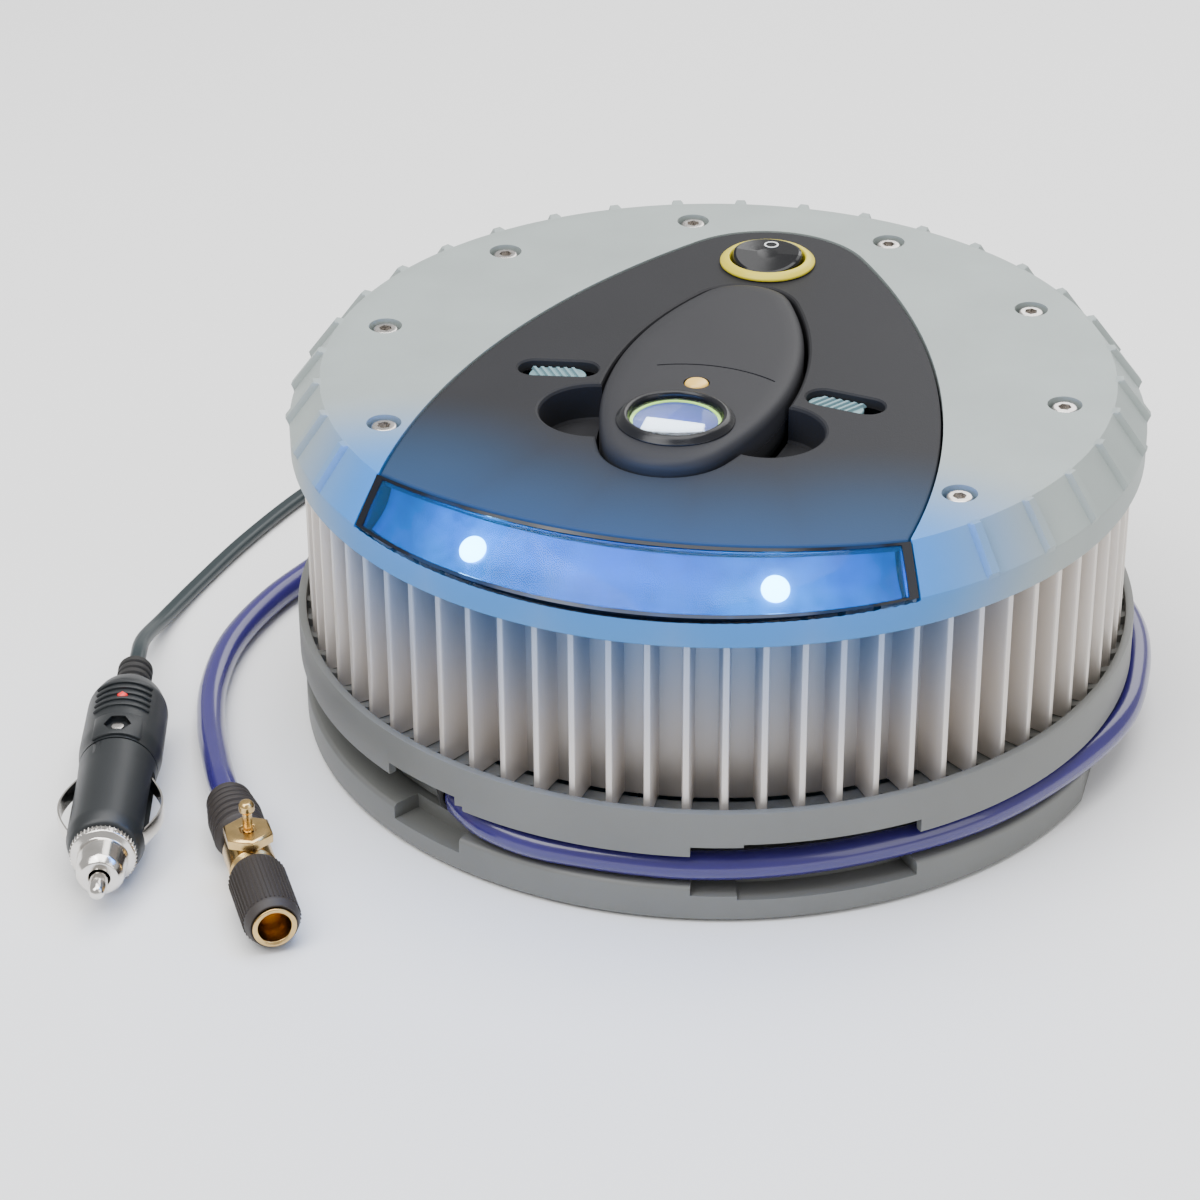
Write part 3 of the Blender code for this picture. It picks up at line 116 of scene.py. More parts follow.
# ------------------------------------------------------------------ settings
def length(name, default, text):
    return FloatProperty(name=name, description=text, default=default, unit="LENGTH", precision=5)


def tint(name, default, text):
    return FloatVectorProperty(
        name=name, description=text, default=default, size=3, subtype="COLOR", min=0, max=1
    )


class InflatorSizes(bpy.types.PropertyGroup):
    """Sizes of the shells and of the repeated pieces."""

    ring_radius: length("Ring radius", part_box("base_tray")[1][0], "Outside of the base ring")
    cover_radius: length("Cover radius", COVER_RADIUS, "Outside of the cover's skirt")
    cover_flat: length("Flat radius", 0.1086, "Where the cover's flat top turns into its shoulder")
    shoulder_z: length("Shoulder height", SHOULDER_Z, "Lower edge of the sloping shoulder")
    skirt_z: length("Skirt height", 0.0837, "Lower edge of the cover")
    rib_height: length("Rib height", 0.0017, "How far the shoulder ribs stand proud")
    rib_step: FloatProperty(
        name="Rib step", description="Angle between ribs", default=math.radians(10), unit="ROTATION"
    )
    fin_count: IntProperty(name="Fins", description="Number of cooling fins", default=72)
    fin_tip: length("Fin tip radius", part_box("finned_housing")[1][0], "Outside of the fins")
    fin_root: length("Fin root radius", 0.1045, "Wall between the fins")
    fin_width: length("Fin width", 0.0021, "Thickness of one fin")
    screw_circle: length("Screw circle", 0.0957, "Radius of the circle of cover screws")
    screw_count: IntProperty(name="Screws", description="Number of cover screws", default=8)
    hose_diameter: length("Hose diameter", 0.0080, "Outside of the air hose")
    cord_diameter: length("Cord diameter", 0.0044, "Mean width of the power cord")


class InflatorColours(bpy.types.PropertyGroup):
    """Colours of the main surfaces."""

    cover: tint("Cover", (0.285, 0.322, 0.312), "Light grey shell")
    base: tint("Base", (0.142, 0.145, 0.137), "Darker grey base")
    fins: tint("Fins", (0.62, 0.57, 0.52), "Satin champagne metal")
    panel: tint("Panel", (0.022, 0.022, 0.024), "Charcoal control panel")
    hose: tint("Hose", (0.026, 0.018, 0.135), "Blue-violet air hose")
    cord: tint("Cord", (0.010, 0.019, 0.022), "Dark power cord")
    latch: tint("Latches", (0.155, 0.262, 0.292), "Blue-grey release latches")
    ring: tint("Switch ring", (0.60, 0.50, 0.035), "Yellow ring round the switch")
    button: tint("Gauge button", (0.80, 0.50, 0.10), "Amber button of the gauge")
    glow: tint("Lamp glow", (0.05, 0.30, 1.0), "Colour of the work light and the display")


# ------------------------------------------------------------------ surfaces
def add(tree, kind, links=(), **values):
    """A shader node: links holds sockets or constants for its inputs, values its properties."""
    node = tree.nodes.new(kind)
    for key, value in values.items():
        if hasattr(node, key):
            setattr(node, key, value)
        else:
            node.inputs[key.replace("_", " ")].default_value = value
    for name, source in dict(links).items():
        if isinstance(source, bpy.types.NodeSocket):
            tree.links.new(source, node.inputs[name])
        else:
            node.inputs[name].default_value = source
    return node


def ramp_of(tree, factor, *stops):
    """A colour ramp through (position, colour) stops; the first two are its ends."""
    ramp = add(tree, "ShaderNodeValToRGB", {"Fac": factor})
    elements = ramp.color_ramp.elements
    for element, (position, colour) in zip(elements, stops[:2]):
        element.position = position
        element.color = (*colour, 1)
    for position, colour in stops[2:]:
        elements.new(position).color = (*colour, 1)
    return ramp.outputs["Color"]


def surface(
    name,
    colour,
    rough,
    metal=0.0,
    grain=(2600, 0.00004),
    mottle=(45, 0.05),
    spread=0.05,
    stretch=(1, 1, 1),
    spill=None,
    **extra,
):
    """A moulded or metal surface: cloudy colour, uneven gloss and a fine grain, and where asked a
    painted blue spill of the work light, as colour and glow, near its face.
    """
    made = bpy.data.materials.get(name)
    if made:
        return made
    made = bpy.data.materials.new(name)
    made.use_nodes = True
    tree = made.node_tree
    shader = tree.nodes["Principled BSDF"]
    place = add(tree, "ShaderNodeTexCoord").outputs["Object"]
    place = add(tree, "ShaderNodeMapping", {"Vector": place}, Scale=stretch).outputs[0]
    cloud = add(tree, "ShaderNodeTexNoise", {"Vector": place}, Scale=mottle[0], Detail=4.0)
    fine = add(tree, "ShaderNodeTexNoise", {"Vector": place}, Scale=grain[0], Detail=2.0)
    low = [c * (1 - mottle[1]) for c in colour]
    high = [min(1, c * (1 + mottle[1])) for c in colour]
    colour_out = ramp_of(tree, cloud.outputs["Fac"], (0.3, low), (0.7, high))
    # Painted light: the work light's blue spill, painted in by mixing the base colour towards blue
    # and adding blue emission close to the light's face.
    if spill:
        painted_blue_share, lit = spill
        reach = lamp_distance(tree, PAINTED_SPILL_ANGLES, *PAINTED_SPILL_REACH)
        part = add(tree, "ShaderNodeMath", {0: reach, 1: painted_blue_share}, operation="MULTIPLY").outputs[0]
        blue = {"Fac": part, "Color1": colour_out, "Color2": (0.005, 0.17, 0.46, 1)}
        colour_out = add(tree, "ShaderNodeMixRGB", blue).outputs[0]
        shader.inputs["Emission Color"].default_value = (0.0, 0.20, 0.48, 1)
        light = add(tree, "ShaderNodeMath", {0: reach, 1: lit}, operation="MULTIPLY")
        tree.links.new(light.outputs[0], shader.inputs["Emission Strength"])
    tree.links.new(colour_out, shader.inputs["Base Color"])
    gloss = {"Value": cloud.outputs["Fac"], "To Min": max(0.02, rough - spread)}
    gloss = add(tree, "ShaderNodeMapRange", gloss | {"To Max": rough + spread})
    tree.links.new(gloss.outputs[0], shader.inputs["Roughness"])
    height = {"Height": fine.outputs["Fac"]}
    bump = add(tree, "ShaderNodeBump", height, Strength=0.6, Distance=grain[1])
    tree.links.new(bump.outputs[0], shader.inputs["Normal"])
    shader.inputs["Metallic"].default_value = metal
    for key, value in extra.items():
        shader.inputs[key.replace("_", " ")].default_value = value
    return made


def lamp_distance(tree, angles, near, far):
    """Mask for painted lamp light: 1 close to the given points of the work light, falling to 0 at
    the far distance.
    """
    place = add(tree, "ShaderNodeTexCoord").outputs["Object"]
    nearest = None
    for angle in angles:
        ends = {0: place, 1: light_point(angle, 0.5, 0)}
        value = add(tree, "ShaderNodeVectorMath", ends, operation="DISTANCE").outputs["Value"]
        if nearest is not None:
            both = {0: value, 1: nearest}
            value = add(tree, "ShaderNodeMath", both, operation="MINIMUM").outputs[0]
        nearest = value
    fade = {"Value": nearest, "From Min": far, "From Max": near}
    return add(tree, "ShaderNodeMapRange", fade, interpolation_type="SMOOTHSTEP").outputs[0]


def clear(name, colour, rough=0.03):
    made = surface(name, colour, rough, grain=(900, 0.00001), mottle=(30, 0.02), spread=0.01)
    shader = made.node_tree.nodes["Principled BSDF"]
    shader.inputs["Transmission Weight"].default_value = 0.97
    shader.inputs["IOR"].default_value = 1.18
    return made


def glowing(name, colour, power, base=None):
    made = surface(name, base or colour, 0.35)
    shader = made.node_tree.nodes["Principled BSDF"]
    shader.inputs["Emission Color"].default_value = (*colour, 1)
    shader.inputs["Emission Strength"].default_value = power
    return made


def lamp_bowl(name):
    """Bright bowl behind the lens, its brightness painted: a blue base colour as painted
    reflection, and painted glow, white at each lamp, fading to blue between them.
    """
    made = surface(name, (0.01, 0.07, 0.22), 0.25, metal=0.4, grain=(300, 0.0001))
    tree = made.node_tree
    shader = tree.nodes["Principled BSDF"]
    # Painted light: the lamps' light on the bowl, painted into its emission, white at each lamp and
    # blue between them; noise below makes the painted glow uneven in strength.
    glow = ramp_of(
        tree,
        lamp_distance(tree, LAMP_ANGLES, 0.0, 0.050),
        (0, (0.0, 0.030, 0.20)),
        (1, (0.60, 0.92, 1.0)),
        (0.25, (0.0, 0.070, 0.26)),
        (0.72, (0.0, 0.16, 0.38)),
        (0.94, (0.02, 0.36, 0.66)),
    )
    place = add(tree, "ShaderNodeTexCoord").outputs["Object"]
    cloudy = add(tree, "ShaderNodeTexNoise", {"Vector": place}, Scale=110.0, Detail=2.0)
    painted_glow_streak = {"Value": cloudy.outputs["Fac"], "From Min": 0.35, "From Max": 0.65}
    painted_glow_streak = add(tree, "ShaderNodeMapRange", painted_glow_streak | {"To Min": 0.6, "To Max": 1.3})
    tree.links.new(glow, shader.inputs["Emission Color"])
    tree.links.new(painted_glow_streak.outputs[0], shader.inputs["Emission Strength"])
    return made


def display_glow(name):
    """Lit display: brightest in the middle of its blue field."""
    made = surface(name, (0.01, 0.05, 0.25), 0.3)
    tree = made.node_tree
    shader = tree.nodes["Principled BSDF"]
    place = add(tree, "ShaderNodeTexCoord").outputs["Object"]
    ends = {0: place, 1: (CONTROLS_X, BEZEL_Y - 0.0030, 0.1062)}
    offset = add(tree, "ShaderNodeVectorMath", ends, operation="DISTANCE").outputs["Value"]
    fade = add(tree, "ShaderNodeMapRange", {"Value": offset, "From Max": 0.0125})
    glow = ramp_of(
        tree,
        fade.outputs[0],
        (0, (0.10, 0.14, 0.80)),
        (1, (0.006, 0.012, 0.14)),
        (0.35, (0.05, 0.08, 0.60)),
        (0.62, (0.02, 0.04, 0.36)),
    )
    tree.links.new(glow, shader.inputs["Emission Color"])
    shader.inputs["Emission Strength"].default_value = 1.1
    return made


def finish(name):
    """The object's surfaces by name: a maker, its settings and its options."""
    colours = bpy.context.scene.inflator_colours
    # Painted shade: the wall between the fins takes the fin colour darkened to 0.62, the shade of
    # the recesses painted into its colour, a shaded copy of the fin metal.
    valley = [0.62 * c for c in colours.fins]
    gauge = [1.2 * c for c in colours.panel]
    jet = (0.008, 0.008, 0.009)
    # Painted light: the spill entries paint the work light's blue spill into these surfaces, giving
    # the share of painted blue colour, then the strength of painted blue glow.
    upright = {"stretch": (1, 1, 0.15), "spill": (0.6, 0.06)}
    cover = {"grain": (2200, 0.00006), "spill": (0.90, 0.03), "Specular_IOR_Level": 0.35}
    panel = {"grain": (2600, 0.00005), "spill": (0.10, 0.10), "Specular_IOR_Level": 0.10}
    gloss = {"grain": (500, 0.00001), "spread": 0.02, "Specular_IOR_Level": 0.25}
    makers = {
        "cover shell": (surface, colours.cover, 0.50, cover),
        "base shell": (surface, colours.base, 0.48, 0.0, (2200, 0.00006)),
        "fin metal": (surface, colours.fins, 0.38, 0.45, (1400, 0.00004), upright),
        "fin valley": (surface, valley, 0.45, 0.4, upright),
        "panel plastic": (surface, colours.panel, 0.52, panel),
        "gauge plastic": (surface, gauge, 0.48, {"spill": (0.0, 0.03), "Specular_IOR_Level": 0.13}),
        "gloss black": (surface, jet, 0.12, gloss),
        "satin black": (surface, jet, 0.24, {"Specular_IOR_Level": 0.30}),
        "black plastic": (surface, (0.010, 0.012, 0.013), 0.45),
        "black rubber": (surface, (0.016, 0.015, 0.014), 0.72, 0.0, (3000, 0.0001)),
        "brown rubber": (surface, (0.026, 0.020, 0.017), 0.60, 0.0, (3000, 0.00008)),
        "hose jacket": (surface, colours.hose, 0.24, 0.0, (900, 0.00003), {"Coat_Weight": 0.4}),
        "cord jacket": (surface, colours.cord, 0.42, 0.0, (2000, 0.00003)),
        "latch plastic": (surface, colours.latch, 0.42),
        "switch ring": (surface, colours.ring, 0.34, {"Specular_IOR_Level": 0.3}),
        "amber button": (surface, colours.button, 0.28, {"Coat_Weight": 0.3}),
        "white mark": (surface, (0.70, 0.72, 0.72), 0.4),
        "screw steel": (surface, (0.66, 0.63, 0.60), 0.27, 1.0, (3500, 0.00003), (300, 0.12)),
        "plated steel": (
            surface, (0.55, 0.55, 0.56), 0.34, 1.0, (1200, 0.00004), {"stretch": (1, 1, 0.1)}
        ),
        "bright nickel": (surface, (0.70, 0.67, 0.63), 0.16, 1.0, (2500, 0.00002), (200, 0.08)),
        "turned brass": (surface, (0.62, 0.42, 0.17), 0.24, 1.0, (2600, 0.00003), (240, 0.14)),
        "motor windings": (surface, (0.45, 0.16, 0.06), 0.35, 0.8),
        "gear nylon": (surface, (0.55, 0.53, 0.46), 0.5),
        "piston plastic": (surface, (0.03, 0.03, 0.035), 0.4),
        "clear window": (clear, (0.90, 0.95, 1.0)),
        "light window": (clear, (0.18, 0.62, 1.0)),
        "lamp white": (glowing, (0.80, 0.93, 1.0), 45.0, (0.9, 0.9, 0.9)),
        "reading window": (glowing, (0.80, 0.88, 1.0), 2.6),
        "lime ring": (glowing, (0.50, 0.85, 0.10), 0.9),
        "red indicator": (glowing, (0.7, 0.02, 0.02), 0.5),
        "lamp bowl": (lamp_bowl,),
        "lit display": (display_glow,),
    }
    maker, *settings = makers[name]
    options = settings.pop() if settings and isinstance(settings[-1], dict) else {}
    return bpy.data.materials.get(name) or maker(name, *settings, **options)


# ------------------------------------------------------------------ mesh tools
def mm(*points):
    """Points given in millimetres, as tuples in metres."""
    return [tuple(round(0.001 * c, 9) for c in point) for point in points]


def polar(radius, degrees, z=0.0):
    angle = math.radians(degrees)
    return Vector((radius * math.cos(angle), radius * math.sin(angle), z))


def arc(centre, radius, start, end, steps):
    turns = [math.radians(start + (end - start) * i / steps) for i in range(steps + 1)]
    return [(centre[0] + radius * math.cos(t), centre[1] + radius * math.sin(t)) for t in turns]


def circle(radius, steps=32, centre=(0.0, 0.0)):
    return arc(centre, radius, 0, 360, steps)[:-1]


def fillet(points, radius, steps=3, closed=True):
    """Rounds the corners of a profile; each corner gives way to a short curve."""
    points = [Vector(p) for p in points]
    out = []
    count = len(points)
    for i, corner in enumerate(points):
        if not closed and i in (0, count - 1):
            out.append(corner)
            continue
        before, after = points[i - 1] - corner, points[(i + 1) % count] - corner
        if before.length < 1e-7 or after.length < 1e-7:
            out.append(corner)
            continue
        reach = min(radius, 0.42 * before.length, 0.42 * after.length)
        a = corner + before.normalized() * reach
        b = corner + after.normalized() * reach
        for k in range(steps + 1):
            t = k / steps
            out.append(a * (1 - t) ** 2 + corner * 2 * t * (1 - t) + b * t**2)
    return out


def loft(loops, bm=None):
    bm = bm or bmesh.new()
    rows = [[bm.verts.new(p) for p in loop] for loop in loops]
    count = len(rows[0])
    for low, high in zip(rows, rows[1:]):
        for i in range(count):
            j = (i + 1) % count
            bm.faces.new((low[i], low[j], high[j], high[i]))
    bm.faces.new(reversed(rows[0]))
    bm.faces.new(rows[-1])
    return bm


def prism(outline, low, high, bm=None):
    return loft([[(x, y, z) for x, y in outline] for z in (low, high)], bm)


def layered(outline, steps):
    """A loft of level outlines; each step gives the outline its size and its height."""
    return loft([[(x, y, z) for x, y in outline(size)] for size, z in steps])


def round_ring(sections, bm=None):
    bm = bm or bmesh.new()
    rows = [[bm.verts.new(p) for p in section] for section in sections]
    count = len(rows[0])
    for k, row in enumerate(rows):
        after = rows[(k + 1) % len(rows)]
        for i in range(count):
            j = (i + 1) % count
            bm.faces.new((row[i], row[j], after[j], after[i]))
    return bm


def lathe(profile, steps=64, bm=None):
    """Turns (radius, z) points. A profile that starts on the axis is closed at both ends."""
    if profile[0][0] > 1e-7:
        return round_ring(
            [[polar(r, 360 * k / steps, z) for r, z in profile] for k in range(steps)], bm
        )
    bm = bm or bmesh.new()
    first = bm.verts.new((0, 0, profile[0][1]))
    last = bm.verts.new((0, 0, profile[-1][1]))
    rows = [
        [bm.verts.new(polar(r, 360 * k / steps, z)) for k in range(steps)] for r, z in profile[1:-1]
    ]
    for k in range(steps):
        j = (k + 1) % steps
        bm.faces.new((first, rows[0][j], rows[0][k]))
        bm.faces.new((last, rows[-1][k], rows[-1][j]))
        for low, high in zip(rows, rows[1:]):
            bm.faces.new((low[k], low[j], high[j], high[k]))
    return bm


def turned(points, radius, steps=64, curve=3):
    """A lathe with rounded corners; a profile on the axis keeps its end points."""
    on_axis = points[0][0] < 1e-7
    return lathe([tuple(p) for p in fillet(points, radius, curve, closed=not on_axis)], steps)


def ribbed(radii, start, pitch, depth, top, foot, end):
    """Profile of a ribbed boot: per radius a rib, then a valley depth below it."""
    profile = []
    for k, radius in enumerate(radii):
        s = start + pitch * k
        valley = radius - depth
        profile += [(radius, s), (radius, s + top), (valley, s + foot), (valley, s + end)]
    return profile


def box(low, high, bm=None):
    outline = [(low[0], low[1]), (high[0], low[1]), (high[0], high[1]), (low[0], high[1])]
    return prism(outline, low[2], high[2], bm)


def plain(name, bm, turn=None, material=None):
    """A bare object in the scene, its place in its mesh."""
    if turn is not None:
        bmesh.ops.transform(bm, matrix=turn, verts=bm.verts)
    bmesh.ops.remove_doubles(bm, verts=bm.verts, dist=1e-7)
    bmesh.ops.recalc_face_normals(bm, faces=bm.faces)
    mesh = bpy.data.meshes.new(name)
    bm.to_mesh(mesh)
    bm.free()
    if material:
        mesh.materials.append(finish(material))
    obj = bpy.data.objects.new(name, mesh)
    bpy.context.scene.collection.objects.link(obj)
    return obj


def drop(*objects):
    for obj in objects:
        bpy.data.objects.remove(obj, do_unlink=True)


def bake(obj):
    """Turns an object's modifiers into its plain mesh."""
    graph = bpy.context.evaluated_depsgraph_get()
    mesh = bpy.data.meshes.new_from_object(obj.evaluated_get(graph))
    obj.modifiers.clear()
    old, obj.data = obj.data, mesh
    bpy.data.meshes.remove(old)
    return obj


def carve(obj, operation, *tools):
    """Joins or cuts with closed tools, then removes them."""
    for tool in tools:
        modifier = obj.modifiers.new("carve", "BOOLEAN")
        modifier.operation = operation
        modifier.solver = "EXACT"
        modifier.object = tool
    bpy.context.view_layer.update()
    bake(obj)
    drop(*tools)
    return obj


def soften(obj, width, segments=2, limit=40):
    modifier = obj.modifiers.new("soft edges", "BEVEL")
    modifier.width = width
    modifier.segments = segments
    modifier.limit_method = "ANGLE"
    modifier.angle_limit = math.radians(limit)
    bpy.context.view_layer.update()
    return bake(obj)


def coat(mesh, material):
    mesh.materials.clear()
    mesh.materials.append(finish(material))


def dress(obj, material, body="housing", replaces=(), sharp=32):
    """Gives a finished piece its material, its shading and its place on a body."""
    if material:
        coat(obj.data, material)
    if obj.type == "MESH":
        obj.data.polygons.foreach_set("use_smooth", [True] * len(obj.data.polygons))
        obj.data.set_sharp_from_angle(angle=math.radians(sharp))
    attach(obj, body)
    if replaces:
        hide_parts(*replaces)
    return obj


def paint(material, *nodes):
    """Gives CAD pieces whose shape is right a better surface."""
    for name in nodes:
        coat(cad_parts[name].data, material)


def along(place):
    """Matrix that takes +Z to a level heading, from (start, heading, height)."""
    start, heading, axis_z = place
    heading = math.radians(heading)
    forward = Vector((math.cos(heading), math.sin(heading), 0))
    side = Vector((-forward.y, forward.x, 0))
    matrix = Matrix((side, Vector((0, 0, 1)), forward)).transposed()
    return Matrix.Translation((start[0], start[1], axis_z)) @ matrix.to_4x4()


def ahead(place, *distances):
    return [place @ Vector((0, 0, s)) for s in distances]


# ------------------------------------------------------------------ repeats
def socket(tree, name, kind, default=None):
    item = tree.interface.new_socket(name=name, in_out="INPUT", socket_type=kind)
    if default is not None:
        item.default_value = default
    return item.identifier


def repeat_tree():
    """Geometry Nodes: copies of a piece round the axis, or stepped along one line."""
    tree = bpy.data.node_groups.get("Repeat")
    if tree:
        return tree
    tree = bpy.data.node_groups.new("Repeat", "GeometryNodeTree")
    socket(tree, "Piece", "NodeSocketObject")
    socket(tree, "Count", "NodeSocketInt", 8)
    socket(tree, "First angle", "NodeSocketFloat", 0.0)
    socket(tree, "Angle step", "NodeSocketFloat", 0.1)
    socket(tree, "Move step", "NodeSocketVector")
    socket(tree, "Finish", "NodeSocketMaterial")
    tree.interface.new_socket(name="Mesh", in_out="OUTPUT", socket_type="NodeSocketGeometry")
    kinds = {
        "given": "NodeGroupInput",
        "points": "GeometryNodePoints",
        "index": "GeometryNodeInputIndex",
        "turn": "ShaderNodeMath",
        "spin": "ShaderNodeCombineXYZ",
        "move": "ShaderNodeVectorMath",
        "shift": "GeometryNodeSetPosition",
        "source": "GeometryNodeObjectInfo",
        "copies": "GeometryNodeInstanceOnPoints",
        "real": "GeometryNodeRealizeInstances",
        "coat": "GeometryNodeSetMaterial",
        "result": "NodeGroupOutput",
    }
    nodes = {name: tree.nodes.new(kind) for name, kind in kinds.items()}
    nodes["turn"].operation = "MULTIPLY_ADD"
    nodes["move"].operation = "SCALE"
    for start, out, end, into in (
        ("given", "Count", "points", "Count"),
        ("index", 0, "turn", 0),
        ("given", "Angle step", "turn", 1),
        ("given", "First angle", "turn", 2),
        ("turn", 0, "spin", "Z"),
        ("given", "Move step", "move", 0),
        ("index", 0, "move", "Scale"),
        ("points", 0, "shift", "Geometry"),
        ("move", 0, "shift", "Offset"),
        ("given", "Piece", "source", "Object"),
        ("shift", 0, "copies", "Points"),
        ("source", "Geometry", "copies", "Instance"),
        ("spin", 0, "copies", "Rotation"),
        ("copies", 0, "real", 0),
        ("real", 0, "coat", "Geometry"),
        ("given", "Finish", "coat", "Material"),
        ("coat", 0, "result", 0),
    ):
        tree.links.new(nodes[start].outputs[out], nodes[end].inputs[into])
    return tree


def repeated(name, piece, material, count, first=0.0, step=0.0, move=(0, 0, 0), place=None):
    """Runs the repeat tree on a piece and returns the copies as one plain mesh."""
    holder = plain(name, bmesh.new())
    tree = repeat_tree()
    names = {i.name: i.identifier for i in tree.interface.items_tree if i.in_out == "INPUT"}
    modifier = holder.modifiers.new("Repeat", "NODES")
    modifier.node_group = tree
    modifier[names["Piece"]] = piece
    modifier[names["Count"]] = count
    modifier[names["First angle"]] = math.radians(first)
    modifier[names["Angle step"]] = math.radians(step)
    modifier[names["Move step"]] = move
    modifier[names["Finish"]] = finish(material)
    holder.update_tag()
    bpy.context.view_layer.update()
    bake(holder)
    drop(piece)
    if place is not None:
        holder.data.transform(place)
    return holder


def merge(target, *others):
    """Joins finished meshes into one piece, each keeping its material."""
    bm = bmesh.new()
    materials = []
    for obj in (target, *others):
        start = len(bm.faces)
        bm.from_mesh(obj.data)
        bm.faces.ensure_lookup_table()
        slots = list(obj.data.materials)
        for face in bm.faces[start:]:
            wanted = slots[face.material_index] if slots else None
            if wanted not in materials:
                materials.append(wanted)
            face.material_index = materials.index(wanted)
    target.data.materials.clear()
    for material in materials:
        target.data.materials.append(material)
    bm.to_mesh(target.data)
    bm.free()
    drop(*others)
    return target


# ------------------------------------------------------------------ outlines
def mirrored(half):
    return half + [(-x, y) for x, y in reversed(half[1:-1])]


def direction(start, end):
    return math.degrees(math.atan2(end[1] - start[1], end[0] - start[0]))


def circles_meet(c0, r0, c1, r1):
    c0, c1 = Vector(c0), Vector(c1)
    gap = (c1 - c0).length
    toward = (c1 - c0) / gap
    reach = (r0**2 - r1**2 + gap**2) / (2 * gap)
    height = math.sqrt(r0**2 - reach**2)
    normal = Vector((-toward.y, toward.x))
    return max((c0 + toward * reach + normal * s * height for s in (1, -1)), key=lambda p: p.x)


def pod(side, side_radius, front, front_radius, nose_radius, grow, steps):
    """Outline of front arc, two long side arcs and a nose, symmetric about x = 0."""
    nose = (0.0, side[1] + math.sqrt((side_radius - nose_radius) ** 2 - side[0] ** 2))
    if front is None:
        front = (0.0, side[1] - math.sqrt((side_radius - front_radius) ** 2 - side[0] ** 2))
        start, low = direction(side, front), direction(side, front)
    else:
        corner = circles_meet(side, side_radius + grow, front, front_radius + grow)
        start, low = direction(side, corner), direction(front, corner)
    top = direction(side, nose)
    front_arc = arc(front, front_radius + grow, -90, low, steps)
    side_arc = arc(side, side_radius + grow, start, top, 2 * steps)
    nose_arc = arc(nose, nose_radius + grow, top, 90, steps)
    return mirrored(front_arc + side_arc[1:] + nose_arc[1:])


def panel_outline(grow=0.0, steps=16):
    front = (0.0, PANEL_FRONT_Y)
    return pod((-0.1722, -0.0644), 0.2424, front, PANEL_FRONT_RADIUS, 0.030, grow, steps)


def gauge_outline(grow=0.0, steps=12):
    outline = pod((-0.0908, -0.0095), 0.1160, None, 0.0172, 0.0143, grow, steps)
    return [(x + CONTROLS_X, y) for x, y in outline]


def gauge_top(y):
    return GAUGE_TOP + GAUGE_SLOPE * y


def gauge_tilt(y, out=0.0):
    slope = Matrix.Rotation(math.atan(GAUGE_SLOPE), 4, "X")
    start = Matrix.Translation((CONTROLS_X, y, gauge_top(y)))
    return start @ slope @ Matrix.Translation((0, 0, out))


def light_point(angle, across, out):
    """A point on the work light's face: across runs from the panel down to the shoulder."""
    turn = math.radians(angle)
    aside = PANEL_FRONT_Y * math.cos(turn)
    reach = PANEL_FRONT_Y * math.sin(turn) + math.sqrt(PANEL_FRONT_RADIUS**2 - aside**2)
    upper = polar(reach + 0.0006, angle, TOP)
    lower = polar(COVER_RADIUS, angle, SHOULDER_Z)
    inward = polar(1, angle + 90).cross(lower - upper).normalized()
    return upper.lerp(lower, across) + inward * (-out if inward.z < 0 else out)


def light_slab(grow, start, end, top, bottom, steps=56, across=5, shape=None):
    """A curved slab over the light's face. shape gives its lift for a share across."""
    half = LIGHT_HALF_ANGLE + grow
    sections = []
    for k in range(steps + 1):
        turn = -half + 2 * half * k / steps
        lower, upper = [], []
        for i in range(across + 1):
            share = start + (end - start) * i / across
            angle = -90 + turn * (1 - LIGHT_TAPER * share)
            lift = shape(i / across) if shape else 0.0
            lower.append(light_point(angle, share, bottom))
            upper.append(light_point(angle, share, top + lift))
        sections.append(lower + upper[::-1])
    return loft(sections)


def wedge(start, end, inner, outer, low, high):
    steps = max(3, round((end - start) / 2))
    outline = arc((0, 0), outer, start, end, steps) + arc((0, 0), inner, end, start, steps)
    return prism(outline, low, high)


def stadium(span, width, grow=0.0, steps=12):
    span, width = span + 2 * grow, width + 2 * grow
    reach = (span - width) / 2
    return arc((reach, 0), width / 2, -90, 90, steps) + arc((-reach, 0), width / 2, 90, 270, steps)


# ------------------------------------------------------------------ cords
HOSE_EXIT = -116
HOSE_SLANT = 50
HOSE_IN_GROOVE = [
    (-107, 0.1136, 0.0163),
    (-97, 0.1136, 0.0157),
    (-78, 0.1128, 0.0156),
    (-58, 0.1118, 0.0156),
    (-36, 0.1132, 0.0156),
    (-12, 0.1172, 0.0156),
    (4, 0.1196, 0.0156),
    (22, 0.1206, 0.0156),
    (45, 0.1180, 0.0156),
    (70, 0.1145, 0.0156),
    (95, 0.1135, 0.0156),
    (115, 0.1145, 0.0156),
    (130, 0.1195, 0.0156),
    (142, 0.1270, 0.0140),
]
HOSE_FREE = mm(
    (-118.5, 56, 9), (-129.5, 34, 4.8), (-138, 8, 4.2), (-140.8, -18, 4.2), (-137.5, -42, 4.2),
    (-130, -64, 5), (-120.5, -84, 6.8)
)
CORD_TO_COIL = mm((-30.5, 143.5, 4.4), (-22.4, 153.2, 2.6), (-21.1, 157.2, 2.3))
CORD_TO_PLUG = mm(
    (-100.3, 190.4, 2.2), (-102, 186.7, 2.2), (-111.5, 166, 2.2), (-129, 134, 2.2),
    (-144, 100, 2.2), (-153, 74, 2.2), (-160, 43, 2.2), (-164, 16, 2.2), (-165.5, -10, 4),
    (-163.5, -30, 8.8)
)


